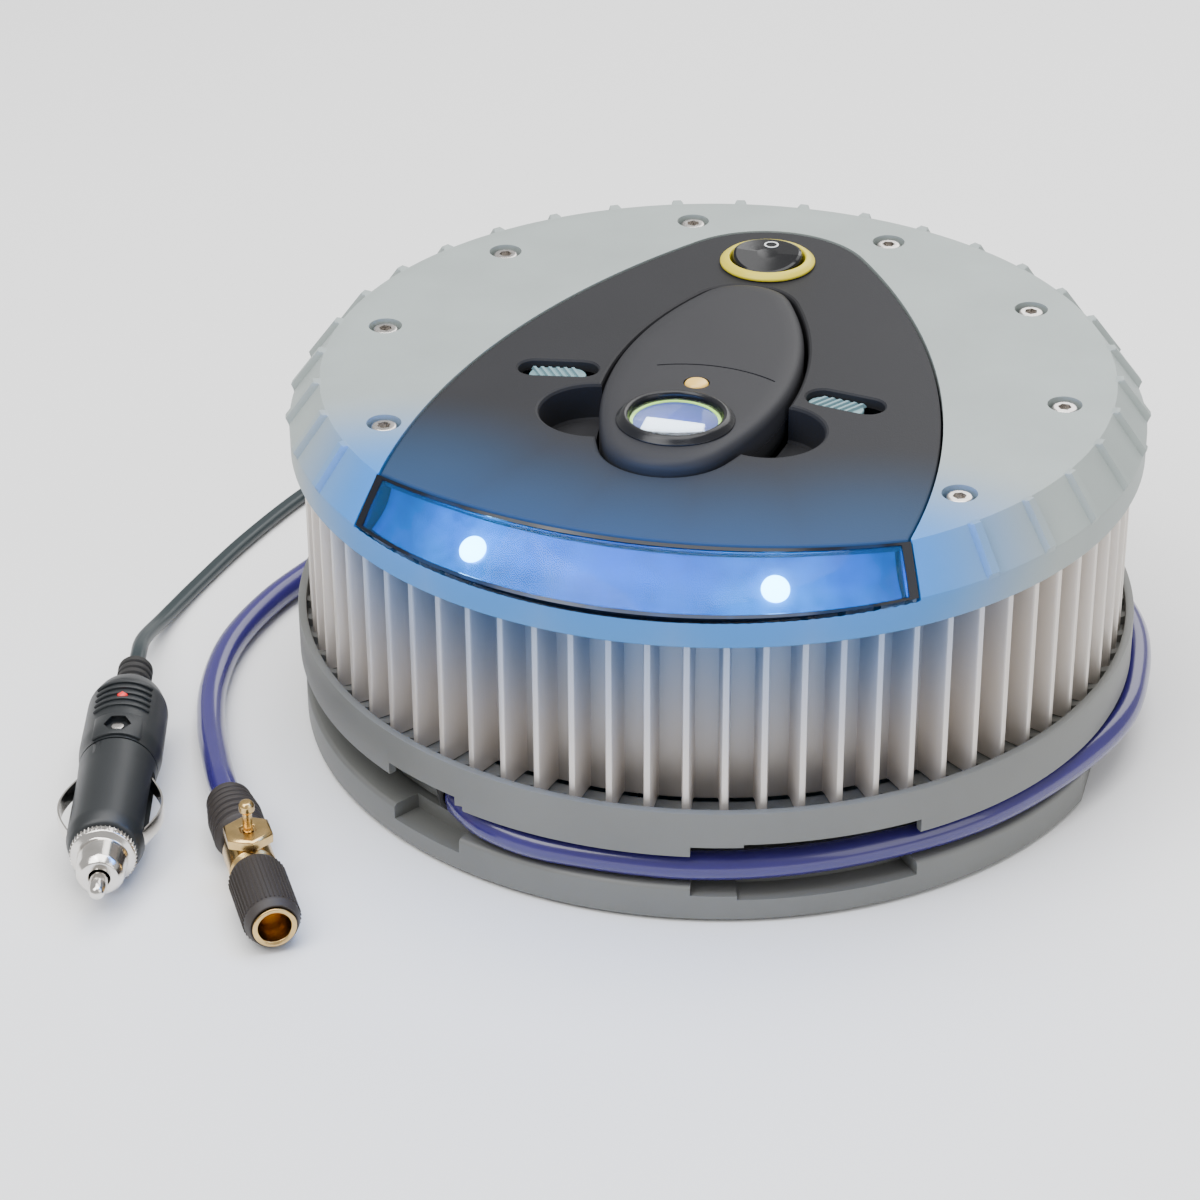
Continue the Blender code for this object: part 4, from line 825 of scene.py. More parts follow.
def smooth(points, spacing):
    """Evenly spaced points on a Catmull-Rom curve; both end spans stay straight."""
    points = [Vector(p) for p in points]
    dense = []
    for p0, p1, p2, p3 in zip(points, points[1:], points[2:], points[3:]):
        for k in range(24):
            t = k / 24
            dense.append(
                0.5
                * (
                    2 * p1
                    + (p2 - p0) * t
                    + (2 * p0 - 5 * p1 + 4 * p2 - p3) * t**2
                    + (3 * p1 - p0 - 3 * p2 + p3) * t**3
                )
            )
    dense.append(points[-2])
    total = sum((b - a).length for a, b in zip(dense, dense[1:]))
    steps = max(1, round(total / spacing))
    route, walked, target = [points[0], dense[0]], 0.0, total / steps
    for a, b in zip(dense, dense[1:]):
        span = (b - a).length
        while walked + span >= target - 1e-9 and len(route) < steps + 1:
            route.append(a.lerp(b, (target - walked) / span))
            target += total / steps
        walked += span
    return [*route[: steps + 1], points[-2], points[-1]]


def hose_exit():
    return along((polar(GROOVE_RADIUS, HOSE_EXIT), HOSE_EXIT + HOSE_SLANT, HOSE_EXIT_Z))


def gland():
    angle, radius, height = GLAND
    return along((polar(radius, angle), angle, height))


def tube(points, section, bm=None):
    """A closed tube of the given section along points, kept level by the up direction."""
    loops = []
    for i, point in enumerate(points):
        ahead = (points[min(i + 1, len(points) - 1)] - points[max(i - 1, 0)]).normalized()
        side = ahead.cross(Vector((0, 0, 1))).normalized()
        up = side.cross(ahead)
        loops.append([point + side * x + up * y for x, y in section])
    return loft(loops, bm)


def coil_points():
    """The stored length: turns laid beside and on each other, one cord width apart."""
    inner, outer = COIL_RADII
    start, height = COIL_START, CORD_ON_FLOOR
    keys = [(0, outer + 0.0055, height), (45, outer + 0.0018, height), (90, outer, height)]
    angle = 90.0
    z = height
    for layer in range(COIL_LAYERS):
        angle += 360 * COIL_LAYER_TURNS
        keys.append((angle, inner if layer % 2 == 0 else outer, z))
        if layer < COIL_LAYERS - 1:
            angle += 150
            z += COIL_LAYER_HEIGHT
            keys.append((angle, inner if layer % 2 == 0 else outer, z))
    end = 154.4 - start
    final = end + 360 * math.ceil((angle + 150 - end) / 360)
    keys.append((final - 40, outer + 0.0050, z - (z - height) * 0.80))
    keys.append((final, outer + 0.0054, height))
    points = []
    for (a0, r0, z0), (a1, r1, z1) in zip(keys, keys[1:]):
        steps = max(2, round((a1 - a0) / 8))
        for k in range(steps):
            t = k / steps
            eased = t if a1 - a0 > 400 else t * t * (3 - 2 * t)
            place = polar(r0 + (r1 - r0) * eased, start + a0 + (a1 - a0) * t)
            points.append(COIL_CENTRE + place + Vector((0, 0, z0 + (z1 - z0) * eased)))
    return points


# ------------------------------------------------------------------ operators
class INFLATOR_OT_stage(bpy.types.Operator):
    """Floor, soft lights and the camera"""

    bl_idname = "inflator.stage"
    bl_label = "Stage"

    def execute(self, context):
        scene = context.scene
        camera = bpy.data.cameras.new("camera")
        camera.lens = CAMERA_LENS
        camera.sensor_width = 36
        view = bpy.data.objects.new("camera", camera)
        forward = Vector(CAMERA_AHEAD).normalized()
        level = forward.cross(Vector((0, 0, 1))).normalized()
        up = level.cross(forward)
        right = level * math.cos(CAMERA_ROLL) + up * math.sin(CAMERA_ROLL)
        up = right.cross(forward)
        turn = Matrix((right, up, -forward)).transposed().to_4x4()
        view.matrix_world = Matrix.Translation(CAMERA_AT) @ turn
        scene.collection.objects.link(view)
        scene.camera = view

        floor = plain("floor", box((-6, -6, -0.02), (6, 6, 0.0)))
        floor.data.materials.append(
            surface("floor paint", (0.86, 0.86, 0.86), 0.6, grain=(60, 0.0001), mottle=(3, 0.01))
        )
        world = bpy.data.worlds.new("studio")
        world.use_nodes = True
        world.node_tree.nodes["Background"].inputs["Color"].default_value = (1, 1, 1, 1)
        world.node_tree.nodes["Background"].inputs["Strength"].default_value = 0.62
        scene.world = world
        self.lamp("key", (-0.55, -0.75, 1.25), (0, 0, 0.05), 0.9, 17)
        self.lamp("fill", (1.15, -0.55, 0.70), (0, 0, 0.05), 0.9, 5)
        self.lamp("back", (0.25, 1.20, 0.95), (0, 0, 0.08), 1.1, 12)
        self.lamp("top", (0, 0.05, 1.50), (0, 0, 0), 1.3, 30)
        glow = context.scene.inflator_colours.glow
        for angle in GLOW_ANGLES:
            lamp = bpy.data.lights.new("lamp glow", "POINT")
            lamp.energy = 0.05
            lamp.color = glow
            lamp.shadow_soft_size = 0.015
            obj = bpy.data.objects.new("lamp glow", lamp)
            obj.location = light_point(angle, 0.35, 0.030)
            obj.visible_camera = False
            scene.collection.objects.link(obj)
        return {"FINISHED"}

    def lamp(self, name, at, target, size, power):
        light = bpy.data.lights.new(name, "AREA")
        light.shape = "SQUARE"
        light.size = size
        light.energy = power
        obj = bpy.data.objects.new(name, light)
        obj.location = at
        obj.rotation_euler = (Vector(target) - Vector(at)).to_track_quat("-Z", "Y").to_euler()
        bpy.context.scene.collection.objects.link(obj)


class INFLATOR_OT_hose(bpy.types.Operator):
    """Air hose: out of the groove at the front, round the drum and on to the chuck"""

    bl_idname = "inflator.hose"
    bl_label = "Air hose"

    def execute(self, context):
        sizes = context.scene.inflator_sizes
        leave, chuck = hose_exit(), along(CHUCK)
        route = ahead(leave, 0.0020, 0.0050)
        route += [polar(radius, angle, z) for angle, radius, z in HOSE_IN_GROOVE]
        route += [Vector(p) for p in HOSE_FREE]
        route += ahead(chuck, -0.008, -0.0002)
        points = smooth(route, 0.004)
        curve = bpy.data.curves.new("hose", "CURVE")
        curve.dimensions = "3D"
        curve.bevel_depth = sizes.hose_diameter / 2
        curve.bevel_resolution = 7
        curve.use_fill_caps = True
        spline = curve.splines.new("POLY")
        spline.points.add(len(points) - 1)
        for point, place in zip(spline.points, points):
            point.co = (*place, 1)
        spline.use_smooth = True
        hose = bpy.data.objects.new("hose", curve)
        bpy.context.scene.collection.objects.link(hose)
        curve.materials.append(finish("hose jacket"))
        dress(hose, None, replaces=("air_hose",))
        ferrule, mouth = self.ferrule(chuck), self.mouth(chuck)
        sleeve, pin = self.sleeve(chuck), self.bleed(chuck)
        collar = turned(mm((4.2, -6), (4.2, 1.6), (5.6, 1.6), (5.6, -6)), 0.0005)
        collar = plain("hose_collar", collar, leave)
        dress(collar, "black rubber", replaces=("hose_grommet",))
        return {"FINISHED"}

    def ferrule(self, chuck):
        profile = mm((0, 0), (5.2, 0), (6, 1))
        radii = [0.0063 + 0.0011 * min(k, 3) / 3 for k in range(6)]
        profile += ribbed(radii, 0.0018, 0.0026, 0.0008, 0.0015, 0.0018, 0.0023)
        profile += mm((7.4, 18), (7.4, 19), (5.8, 20.5), (0, 20.5))
        obj = plain("hose_ferrule_skin", turned(profile, 0.0004, 48, 2), chuck)
        return dress(obj, "brown rubber", replaces=("hose_ferrule",))

    def mouth(self, chuck):
        profile = mm(
            (0, 20.9), (5.2, 20.9), (5.2, 24.3), (6.4, 25.2), (6.4, 35.2), (5, 36.5), (4.8, 46),
            (0, 46)
        )
        body = plain("chuck_brass", turned(profile, 0.0003, 48), chuck)
        seat = chuck @ Vector(BLEED_SEAT)
        upright = Matrix.Translation(seat) @ Matrix.Rotation(math.radians(CHUCK[1]), 4, "Z")
        plate = mm(
            (1.6, -1), (3.5, -1), (3.5, 0.4), (6.9, 0.4), (7, 3), (6.2, 3.6), (2.6, 3.6), (2.1, 3),
            (1.6, 3)
        )
        hexagon = plain("plate", lathe(plate, 6), upright)
        soften(hexagon, 0.00025)
        body.data.materials.append(finish("turned brass"))
        merge(body, hexagon)
        return dress(body, "turned brass", replaces=("chuck_body",))

    def sleeve(self, chuck):
        profile = mm(
            (5.2, 37.9), (6.8, 37.9), (7.4, 39.2), (7.4, 59.6), (6.4, 61.8), (6, 61.8), (5.2, 61)
        )
        core = plain("chuck_sleeve_skin", turned(profile, 0.0004, 96), chuck, "brown rubber")
        lip = mm(
            (4.4, 46.6), (5.1, 46.6), (5.1, 61.8), (5.8, 62), (5.8, 62.6), (5.4, 62.8), (4.4, 62.4)
        )
        lip = plain("lip", turned(lip, 0.0002, 64), chuck, "turned brass")
        ridge = box((0.0070, -0.00022, 0.0398), (0.00776, 0.00022, 0.0590))
        ridge = soften(plain("ridge", ridge), 0.00012, 1)
        ridges = repeated("ridges", ridge, "brown rubber", 40, 0, 9, place=chuck)
        merge(core, lip, ridges)
        return dress(core, None, "chuck_sleeve", ("chuck_sleeve",))

    def bleed(self, chuck):
        seat = chuck @ Vector(BLEED_SEAT)
        profile = mm(
            (0, 1.5), (1.3, 1.5), (1.3, 8.8), (2.1, 9.4), (2.1, 11.2), (1.4, 12.1), (0, 12.2)
        )
        pin = plain("bleed_pin_skin", turned(profile, 0.0003, 32), Matrix.Translation(seat))
        return dress(pin, "turned brass", "bleed_pin", ("bleed_pin",))


class INFLATOR_OT_power_cord(bpy.types.Operator):
    """Power cord: from the gland at the back, through its stored coil, to the plug"""

    bl_idname = "inflator.power_cord"
    bl_label = "Power cord and plug"

    def execute(self, context):
        width = context.scene.inflator_sizes.cord_diameter
        leave, plug = gland(), along(PLUG)
        route = ahead(leave, 0.0172, 0.0200)
        route += [Vector(p) for p in CORD_TO_COIL] + coil_points()
        route += [Vector(p) for p in CORD_TO_PLUG]
        route += ahead(plug, -0.007, 0.0100, 0.0300)
        points = smooth(route, 0.0036)
        # Two cores side by side leave a shallow waist along the middle.
        section = []
        for k in range(24):
            x, y = math.cos(math.tau * k / 24), math.sin(math.tau * k / 24)
            waist = 1 - 0.20 * math.exp(-((x / 0.35) ** 2))
            section.append((0.54 * width * x, 0.45 * width * y * waist))
        cord = plain("cord", tube(points, section))
        nodes = ("power_cord", "cord_coil", "cord_lead")
        dress(cord, "cord jacket", replaces=nodes)
        relief = plain("cord_relief", self.relief(), leave)
        dress(relief, "black rubber", replaces=("cord_gland",))
        self.plug(plug)
        return {"FINISHED"}

    def relief(self):
        profile = mm((2.4, -6), (4, -6), (4, 0.4), (5.2, 0.4), (5.2, 3))
        radii = [0.0047 - 0.0003 * k for k in range(5)]
        profile += ribbed(radii, 0.0040, 0.0025, 0.0007, 0.0014, 0.0016, 0.0022)
        profile += mm((3.3, 17), (2.4, 17))
        return turned(profile, 0.0003, 40, 2)

    def plug(self, place):
        relief = mm((2.2, 0), (4, 0), (4.6, 0.6))
        relief += ribbed([0.0050] * 4, 0.0012, 0.0031, 0.0010, 0.0018, 0.0021, 0.0028)
        relief += mm((4.8, 14), (4.8, 15), (2.2, 15))
        relief = plain("plug_relief", turned(relief, 0.0003, 40, 2), place)
        dress(relief, "black rubber", replaces=("plug_strain_relief",))

        profile = mm(
            (0, 30.5), (2.2, 30.5), (2.2, 15.4), (5.8, 15.4), (9.2, 17.6), (11.2, 23.5), (11.4, 47),
            (10.8, 52), (10.5, 60), (10.5, 88.5), (9.2, 92.5), (0, 92.5)
        )
        body = plain("plug_shell", turned(profile, 0.0014, 96, 4), place)
        slots = bmesh.new()
        for low, high in ((0.0072, 0.020), (-0.020, -0.0072)):
            box((low, -0.0031, 0.0585), (high, 0.0031, 0.0885), slots)
        seam = turned(mm((10.3, 53.2), (10.3, 53.8), (13, 53.8), (13, 53.2)), 0, 96, 1)
        upward = Matrix.Rotation(math.radians(-90), 4, "X")
        top = place @ Matrix.Translation((0, 0, 0.0320)) @ upward
        window = prism(circle(0.0017, 24), 0.0100, 0.0125)
        recess = prism(circle(0.0038, 6), 0.0096, 0.0125)
        recess_at = place @ Matrix.Translation((0, 0, 0.0470)) @ upward
        carve(
            body,
            "DIFFERENCE",
            plain("slots", slots, place),
            plain("seam", seam, place),
            plain("window", window, top),
            plain("recess", recess, recess_at),
        )
        coat(body.data, "black plastic")
        band = arc((0, 0), 0.0110, 48, 132, 16) + arc((0, 0), 0.0119, 132, 48, 16)
        rib = soften(plain("rib", prism(band, 0.0252, 0.0264)), 0.0003, 2)
        ribs = repeated("ribs", rib, "black plastic", 5, move=(0, 0, 0.0029), place=place)
        pad = arc((0, 0), 0.0106, 54, 126, 16) + arc((0, 0), 0.0116, 126, 54, 16)
        pad = prism(pad, 0.0418, 0.0524)
        pad = soften(plain("pad", pad, place, "black plastic"), 0.0003, 2)
        recess = prism(circle(0.0038, 6), 0.0096, 0.0125)
        carve(pad, "DIFFERENCE", plain("recess", recess, recess_at))
        screw = turned(mm((0, 8.8), (1.8, 8.8), (1.8, 10.4), (0, 10.6)), 0.0003, 24)
        screw = plain("plug_screw", screw, recess_at, "screw steel")
        merge(body, ribs, pad, screw)
        dress(body, None, replaces=("plug_body",))

        lamp = turned(mm((0, 9.6), (1.5, 9.6), (1.5, 11.4), (0, 12)), 0.0005, 24)
        lamp = plain("plug_lamp", lamp, top)
        dress(lamp, "red indicator", replaces=("plug_indicator",))
        clips = []
        for name, side in (("plug_clip_left", 1), ("plug_clip_right", -1)):
            sections = []
            for k in range(25):
                s = 0.0600 + 0.0270 * k / 24
                bow = 0.0092 + 0.0044 * math.sin(math.pi * k / 24)
                strip = ((0, -1), (0.0005, -1), (0.0007, 0), (0.0005, 1), (0, 1))
                sections.append([(side * (bow + out), 0.0024 * edge, s) for out, edge in strip])
            clip = plain(name + "_spring", loft(sections), place)
            clips.append(dress(clip, "bright nickel", name, (name,)))
        profile = mm(
            (2.8, 92.9), (8.6, 92.9), (8.6, 95.2), (6.7, 96), (6.3, 103), (5, 105), (2.8, 105)
        )
        cap = plain("plug_cap", turned(profile, 0.0004, 72), place, "bright nickel")
        ridge = box((0.0080, -0.0002, 0.0932), (0.0089, 0.0002, 0.0950))
        ridge = soften(plain("ridge", ridge), 0.0001, 1)
        merge(cap, repeated("knurl", ridge, "bright nickel", 48, 0, 7.5, place=place))
        dress(cap, None, "plug_nose_cap", ("plug_nose_cap",))
        tip = mm((0, 96.5), (2.4, 96.5), (2.4, 109.8), (1.8, 112.2), (0, 113))
        tip = plain("plug_pin", turned(tip, 0.0008, 40), place)
        dress(tip, "bright nickel", "plug_tip", ("plug_tip",))
        return [relief, body, lamp, *clips, cap, tip]


class INFLATOR_OT_base(bpy.types.Operator):
    """Base plate, the tray with its hose groove, and the gussets under the fins"""

    bl_idname = "inflator.base"
    bl_label = "Base"

    def execute(self, context):
        ring = context.scene.inflator_sizes.ring_radius
        inside = ring - WALL
        profile = [
            (GROOVE_RADIUS - WALL, 0.0118),
            (GROOVE_RADIUS, 0.0114),
            (GROOVE_RADIUS, GROOVE_ROOF),
            (inside, GROOVE_ROOF),
            (inside, 0.0212),
            (ring, 0.0212),
            (ring, 0.0348),
            (inside, 0.0348),
            (inside, LEDGE),
            (0.1055, LEDGE),
            (GROOVE_RADIUS - WALL, GROOVE_ROOF + WALL),
        ]
        tray = plain("tray_shell", turned(profile, 0.0006, 288, 2))
        tools = []
        notches = ((-123.5, -111.5, 0.0250), (-79.3, -72.3, 0.0244), (-72.6, -49.2, 0.0253))
        for start, end, high in notches:
            tools.append(plain("notch", wedge(start, end, 0.1120, 0.125, 0.0, high)))
        tools.append(plain("hole", prism(circle(0.0061, 32), -0.020, 0.016), hose_exit()))
        carve(tray, "DIFFERENCE", *tools)
        coat(tray.data, "base shell")
        # A gusset leans from the ring's inner wall to the foot of each gap between fins.
        foot, back = LEDGE - 0.0005, inside + 0.0004
        loops = [[(0.1080, y, foot), (back, y, foot), (back, y, 0.0334)] for y in (-0.0013, 0.0013)]
        gusset = plain("gusset", loft(loops))
        count = context.scene.inflator_sizes.fin_count
        merge(tray, repeated("gussets", gusset, "base shell", count, 180 / count, 360 / count))
        dress(tray, None, replaces=("base_tray",))

        plate = mm(
            (0, 0.6), (116, 0.6), (116.8, 1.4), (116.8, 10.2), (116, 11), (102.8, 11), (102.8, 3),
            (0, 3)
        )
        plate = plain("base_plate_shell", turned(plate, 0.0006, 240, 2))
        tools = []
        for low, high in ((-0.2, -0.1116), (0.1116, 0.2)):
            tools.append(plain("flat", box((low, -0.2, -0.01), (high, 0.2, 0.03))))
        notches = ((-123.5, -111.5, 0.0066), (-79.3, -73.0, 0.0084), (-73.3, -49.2, 0.0072))
        for start, end, low in notches:
            tools.append(plain("notch", wedge(start, end, 0.1085, 0.125, low, 0.03)))
        holes = bmesh.new()
        for k in range(3):
            prism(circle(0.0104, 32, polar(0.094, 90 + 120 * k)[:2]), -0.01, 0.0022, holes)
            prism(circle(0.0047, 24, polar(0.088, 30 + 120 * k)[:2]), -0.01, 0.0055, holes)
        tools.append(plain("recesses", holes))
        tools.append(plain("gland_hole", prism(circle(0.0044, 24), -0.020, 0.010), gland()))
        carve(plate, "DIFFERENCE", *tools)
        dress(plate, "base shell", replaces=("base_plate",))
        paint("black rubber", *(f"rubber_foot_{k}" for k in (1, 2, 3)))
        paint("screw steel", *(f"base_screw_{k}" for k in (1, 2, 3)))
        return {"FINISHED"}


class INFLATOR_OT_fins(bpy.types.Operator):
    """Finned housing: one wall and its ring of upright cooling fins"""

    bl_idname = "inflator.fins"
    bl_label = "Cooling fins"

    def execute(self, context):
        sizes = context.scene.inflator_sizes
        low, high = LEDGE + FIT, FIN_TOP
        root, tip, half = sizes.fin_root, sizes.fin_tip, sizes.fin_width / 2
        wall = lathe([(root - WALL, low), (root, low), (root, high), (root - WALL, high)], 216)
        # The wall between the fins wears the darker fin valley material, with the shade of the
        # recesses painted in.
        wall = plain("finned_wall", wall, material="fin valley")
        outline = [
            (root - 0.0006, -half * 1.6),
            (root + 0.0010, -half * 1.2),
            (tip - 0.0008, -half),
            (tip - 0.0002, -half * 0.72),
            (tip, 0),
            (tip - 0.0002, half * 0.72),
            (tip - 0.0008, half),
            (root + 0.0010, half * 1.2),
            (root - 0.0006, half * 1.6),
        ]
        fin = plain("fin", prism(outline, low, high))
        count = sizes.fin_count
        merge(wall, repeated("fins", fin, "fin metal", count, 0, 360 / count))
        dress(wall, None, replaces=("finned_housing",))
        return {"FINISHED"}


class INFLATOR_OT_cover(bpy.types.Operator):
    """Top cover with its ribbed shoulder, and the ring of cover screws"""

    bl_idname = "inflator.cover"
    bl_label = "Cover and screws"

    def execute(self, context):
        sizes = context.scene.inflator_sizes
        step = math.degrees(sizes.rib_step)
        sections = []
        for k in range(round(360 / step)):
            middle = k * step
            plain_part = abs((middle + 90 + 180) % 360 - 180) < 45
            for offset in RIB_ANGLES:
                lift = max(0.0, min(1.0, (0.95 - abs(offset)) / 0.35))
                lift = 0.0 if plain_part else 1 - (1 - lift) ** 2
                sections.append(self.section(sizes, middle + offset, lift * sizes.rib_height))
        cover = plain("cover_shell", round_ring(sections))
        count = sizes.screw_count
        first = 90 - SCREW_STEP * (count - 1) / 2
        sinks, collars = bmesh.new(), bmesh.new()
        for k in range(count):
            centre = polar(sizes.screw_circle, first + SCREW_STEP * k)[:2]
            prism(circle(0.0047, 40, centre), 0.0995, 0.110, sinks)
            prism(circle(0.0062, 32, centre), 0.0940, TOP - WALL + 0.0005, collars)
        carve(cover, "UNION", plain("collars", collars))
        carve(
            cover,
            "DIFFERENCE",
            plain("sinks", sinks),
            plain("panel_opening", prism(panel_outline(FIT), 0.08, 0.12)),
            plain("light_opening", light_slab(0.2, -0.25, 1.03, 0.015, -0.016)),
        )
        dress(cover, "cover shell", replaces=("top_cover",), sharp=24)

        head = mm(
            (0, 83.5), (1.9, 83.5), (1.9, 99.9), (3.5, 99.9), (3.6, 102.8), (3.1, 103.3),
            (2.1, 103.3), (0, 103.3)
        )
        screw = plain("screw", turned(head, 0.00025, 36, 2))
        hexagon = plain("socket", prism(circle(0.0019, 6), 0.1008, 0.110))
        dimple = plain("dimple", prism(circle(0.0017, 24), 0.1004, 0.1012))
        carve(screw, "DIFFERENCE", hexagon, dimple)
        screw.data.transform(Matrix.Translation((sizes.screw_circle, 0, 0)))
        screws = repeated("screws", screw, "screw steel", count, first, SCREW_STEP)
        nodes = [f"cover_screw_{k + 1}" for k in range(count)]
        dress(screws, None, replaces=nodes, sharp=30)
        return {"FINISHED"}

    def section(self, sizes, angle, lift):
        flat, outer, low = sizes.cover_flat, sizes.cover_radius, sizes.shoulder_z
        slope = Vector((outer - flat, low - TOP))
        normal = Vector((-slope.y, slope.x)).normalized()
        profile = [(0.030, TOP), (flat - 0.004, TOP), (flat - 0.0012, TOP)]
        profile.append((flat - 0.0003, TOP - 0.0002))
        strengths = {0.02: 0.5, 0.06: 1, 0.2: 1, 0.5: 1, 0.8: 1, 0.95: 1, 0.99: 0.4}
        for share, strength in strengths.items():
            place = Vector((flat, TOP)) + slope * share + normal * lift * strength
            profile.append(tuple(place))
        profile += [
            (outer, low - 0.0004),
            (outer, low - 0.0012),
            (outer, sizes.skirt_z + 0.0005),
            (outer - 0.0005, sizes.skirt_z),
            (outer - WALL, sizes.skirt_z),
            (outer - WALL, low - 0.001),
            (flat - 0.0012, TOP - WALL),
            (0.030, TOP - WALL),
        ]
        return [polar(radius, angle, z) for radius, z in profile]


class INFLATOR_OT_panel(bpy.types.Operator):
    """Control panel with the gauge's pocket, the finger recesses and the latch slots"""

    bl_idname = "inflator.panel"
    bl_label = "Control panel"

    def execute(self, context):
        under = TOP - PANEL_THICKNESS
        steps = ((-0.0002, under), (-0.0002, TOP - 0.0006), (-0.0004, TOP - 0.0002), (-0.0008, TOP))
        panel = plain("panel_shell", layered(panel_outline, steps))
        tub = prism(gauge_outline(POCKET_GAP + 0.0016), 0.0844, TOP - 0.001)
        joins = [plain("tub", tub)]
        for side in (-1, 1):
            centre = (CONTROLS_X + side * FINGER_X, FINGER_Y)
            joins.append(plain("well", prism(circle(0.0166, 48, centre), 0.0914, TOP - 0.001)))
        carve(panel, "UNION", *joins)
        cuts = []
        lip = ((0, POCKET_FLOOR), (0, TOP - 0.0009), (0.0003, TOP - 0.0003))
        lip += ((0.0009, TOP), (0.0009, 0.110))
        lip = [(POCKET_GAP + grow, z) for grow, z in lip]
        cuts.append(plain("pocket", layered(gauge_outline, lip)))
        for side in (-1, 1):
            steps = [(0.0143, 0.0930), (0.0149, 0.0938), (0.0150, TOP - 0.001)]
            steps += [(0.0154, TOP - 0.0003), (0.0160, TOP), (0.0160, 0.110)]
            centre = (CONTROLS_X + side * FINGER_X, FINGER_Y)
            scoop = layered(lambda radius: circle(radius, 64, centre), steps)
            cuts.append(plain("scoop", scoop))
            steps = ((0.0, under - 0.002), (0.0, TOP - 0.0005), (0.0005, TOP), (0.0005, 0.11))
            slot = layered(lambda grow: stadium(SLOT_LENGTH, SLOT_WIDTH, grow), steps)
            cuts.append(plain("slot", slot, latch_frame(side)))
        switch = prism(circle(0.0121, 48, (CONTROLS_X, SWITCH_Y)), 0.07, 0.11)
        cuts.append(plain("switch_hole", switch))
        carve(panel, "DIFFERENCE", *cuts)
        nodes = ("control_panel",)
        dress(panel, "panel plastic", replaces=nodes, sharp=20)
        self.latch("left_latch", -1, 0.0030)
        self.latch("right_latch", 1, 0.0)
        return {"FINISHED"}

    def latch(self, node, side, rest):
        top = TOP - 0.0012
        place = latch_frame(side) @ Matrix.Translation((rest - 0.0028, 0, 0))
        steps = ((0, TOP - 0.0038), (0, top - 0.0012), (-0.0002, top - 0.0009))
        steps += ((-0.0005, top - 0.0008),)
        slab = layered(lambda grow: stadium(0.0158, 0.0082, grow), steps)
        latch = plain(node + "_slide", slab, place)
        flange = box((-0.0062, -0.0054, TOP - 0.0050), (0.0062, 0.0054, TOP - 0.0037))
        carve(latch, "UNION", plain("flange", flange, place))
        latch.data.materials.append(finish("latch plastic"))
        lean = 0.0016
        loops = []
        for y in (-0.0034, -0.0028, 0.0028, 0.0034):
            shift = lean * y / 0.0034
            drop_z = 0.0 if abs(y) < 0.003 else 0.0007
            section = ((-0.0007, 0.0012), (-0.0004, drop_z), (0.0004, drop_z), (0.0007, 0.0012))
            loops.append([(shift + x, y, top - down) for x, down in section])
        rib = plain("rib", loft(loops), Matrix.Translation((-0.0053, 0, 0)))
        ribs = repeated("ribs", rib, "latch plastic", 6, move=(0.00212, 0, 0), place=place)
        merge(latch, ribs)
        bm = bmesh.new()
        bm.from_mesh(latch.data)
        bmesh.ops.recalc_face_normals(bm, faces=bm.faces)
        bm.to_mesh(latch.data)
        bm.free()
        dress(latch, None, node, (node,))


def latch_frame(side):
    turn = Matrix.Rotation(math.radians(-side * LATCH_TURN), 4, "Z")
    mirror = Matrix.Scale(side, 4, Vector((1, 0, 0)))
    return Matrix.Translation((CONTROLS_X + side * LATCH_X, LATCH_Y, 0)) @ turn @ mirror


class INFLATOR_OT_switch(bpy.types.Operator):
    """Round rocker switch in its yellow ring"""

    bl_idname = "inflator.switch"
    bl_label = "Switch"

    def execute(self, context):
        centre = Matrix.Translation((CONTROLS_X, SWITCH_Y, 0))
        hole = SWITCH_HOLE
        profile = [
            (hole, TOP - 0.0100),
            (hole + 0.0009, TOP - 0.0100),
            (hole + 0.0009, TOP + 0.0003),
            (0.0138, TOP + 0.0003),
            (0.0138, TOP + 0.0010),
            (0.0126, TOP + 0.0020),
            (hole + 0.0004, TOP + 0.0023),
            (hole, TOP + 0.0016),
        ]
        ring = plain("switch_ring", turned(profile, 0.0005, 96), centre)
        dress(ring, "switch ring", replaces=("switch_bezel",))

        loops = []
        levels = [(0.90, -0.0030), (0.985, -0.0010), (1.0, 0.0004), (1.0, None), (0.97, None)]
        levels += [(0.90, None), (0.6, None), (0.3, None)]
        for i, (scale, z) in enumerate(levels):
            loop = []
            for x, y in circle(ROCKER_RADIUS * scale, 64):
                if z is None:
                    rim = ROCKER_EDGE[i - 3]
                    fall = 0.0010 * abs(y) / ROCKER_RADIUS
                    height = 0.0037 - fall - 0.0004 * (1 - (x / ROCKER_RADIUS) ** 2) - rim
                else:
                    height = z
                loop.append((x, y, height))
            loops.append(loop)
        tilt = Matrix.Rotation(math.radians(6), 4, "X")
        tilt = Matrix.Translation((CONTROLS_X, SWITCH_Y, TOP + 0.0002)) @ tilt
        rocker = plain("rocker_cap", loft(loops), tilt)
        bmesh_triangulate(rocker)
        rocker.data.materials.append(finish("gloss black"))
        spot = Matrix.Translation((0, 0.0052, 0.0029)) @ Matrix.Rotation(-0.10, 4, "X")
        mark = turned(mm((1.6, 0), (1.6, 0.12), (2.1, 0.12), (2.1, 0)), 0, 40, 1)
        mark = plain("mark", mark, tilt @ spot, "white mark")
        merge(rocker, mark)
        dress(rocker, None, "rocker", ("rocker_button",), sharp=9)
        paint("black plastic", "switch_body")
        return {"FINISHED"}


def bmesh_triangulate(obj):
    """Splits large faces that aren't flat."""
    bm = bmesh.new()
    bm.from_mesh(obj.data)
    bmesh.ops.triangulate(bm, faces=[f for f in bm.faces if len(f.verts) > 4])
    bm.to_mesh(obj.data)
    bm.free()


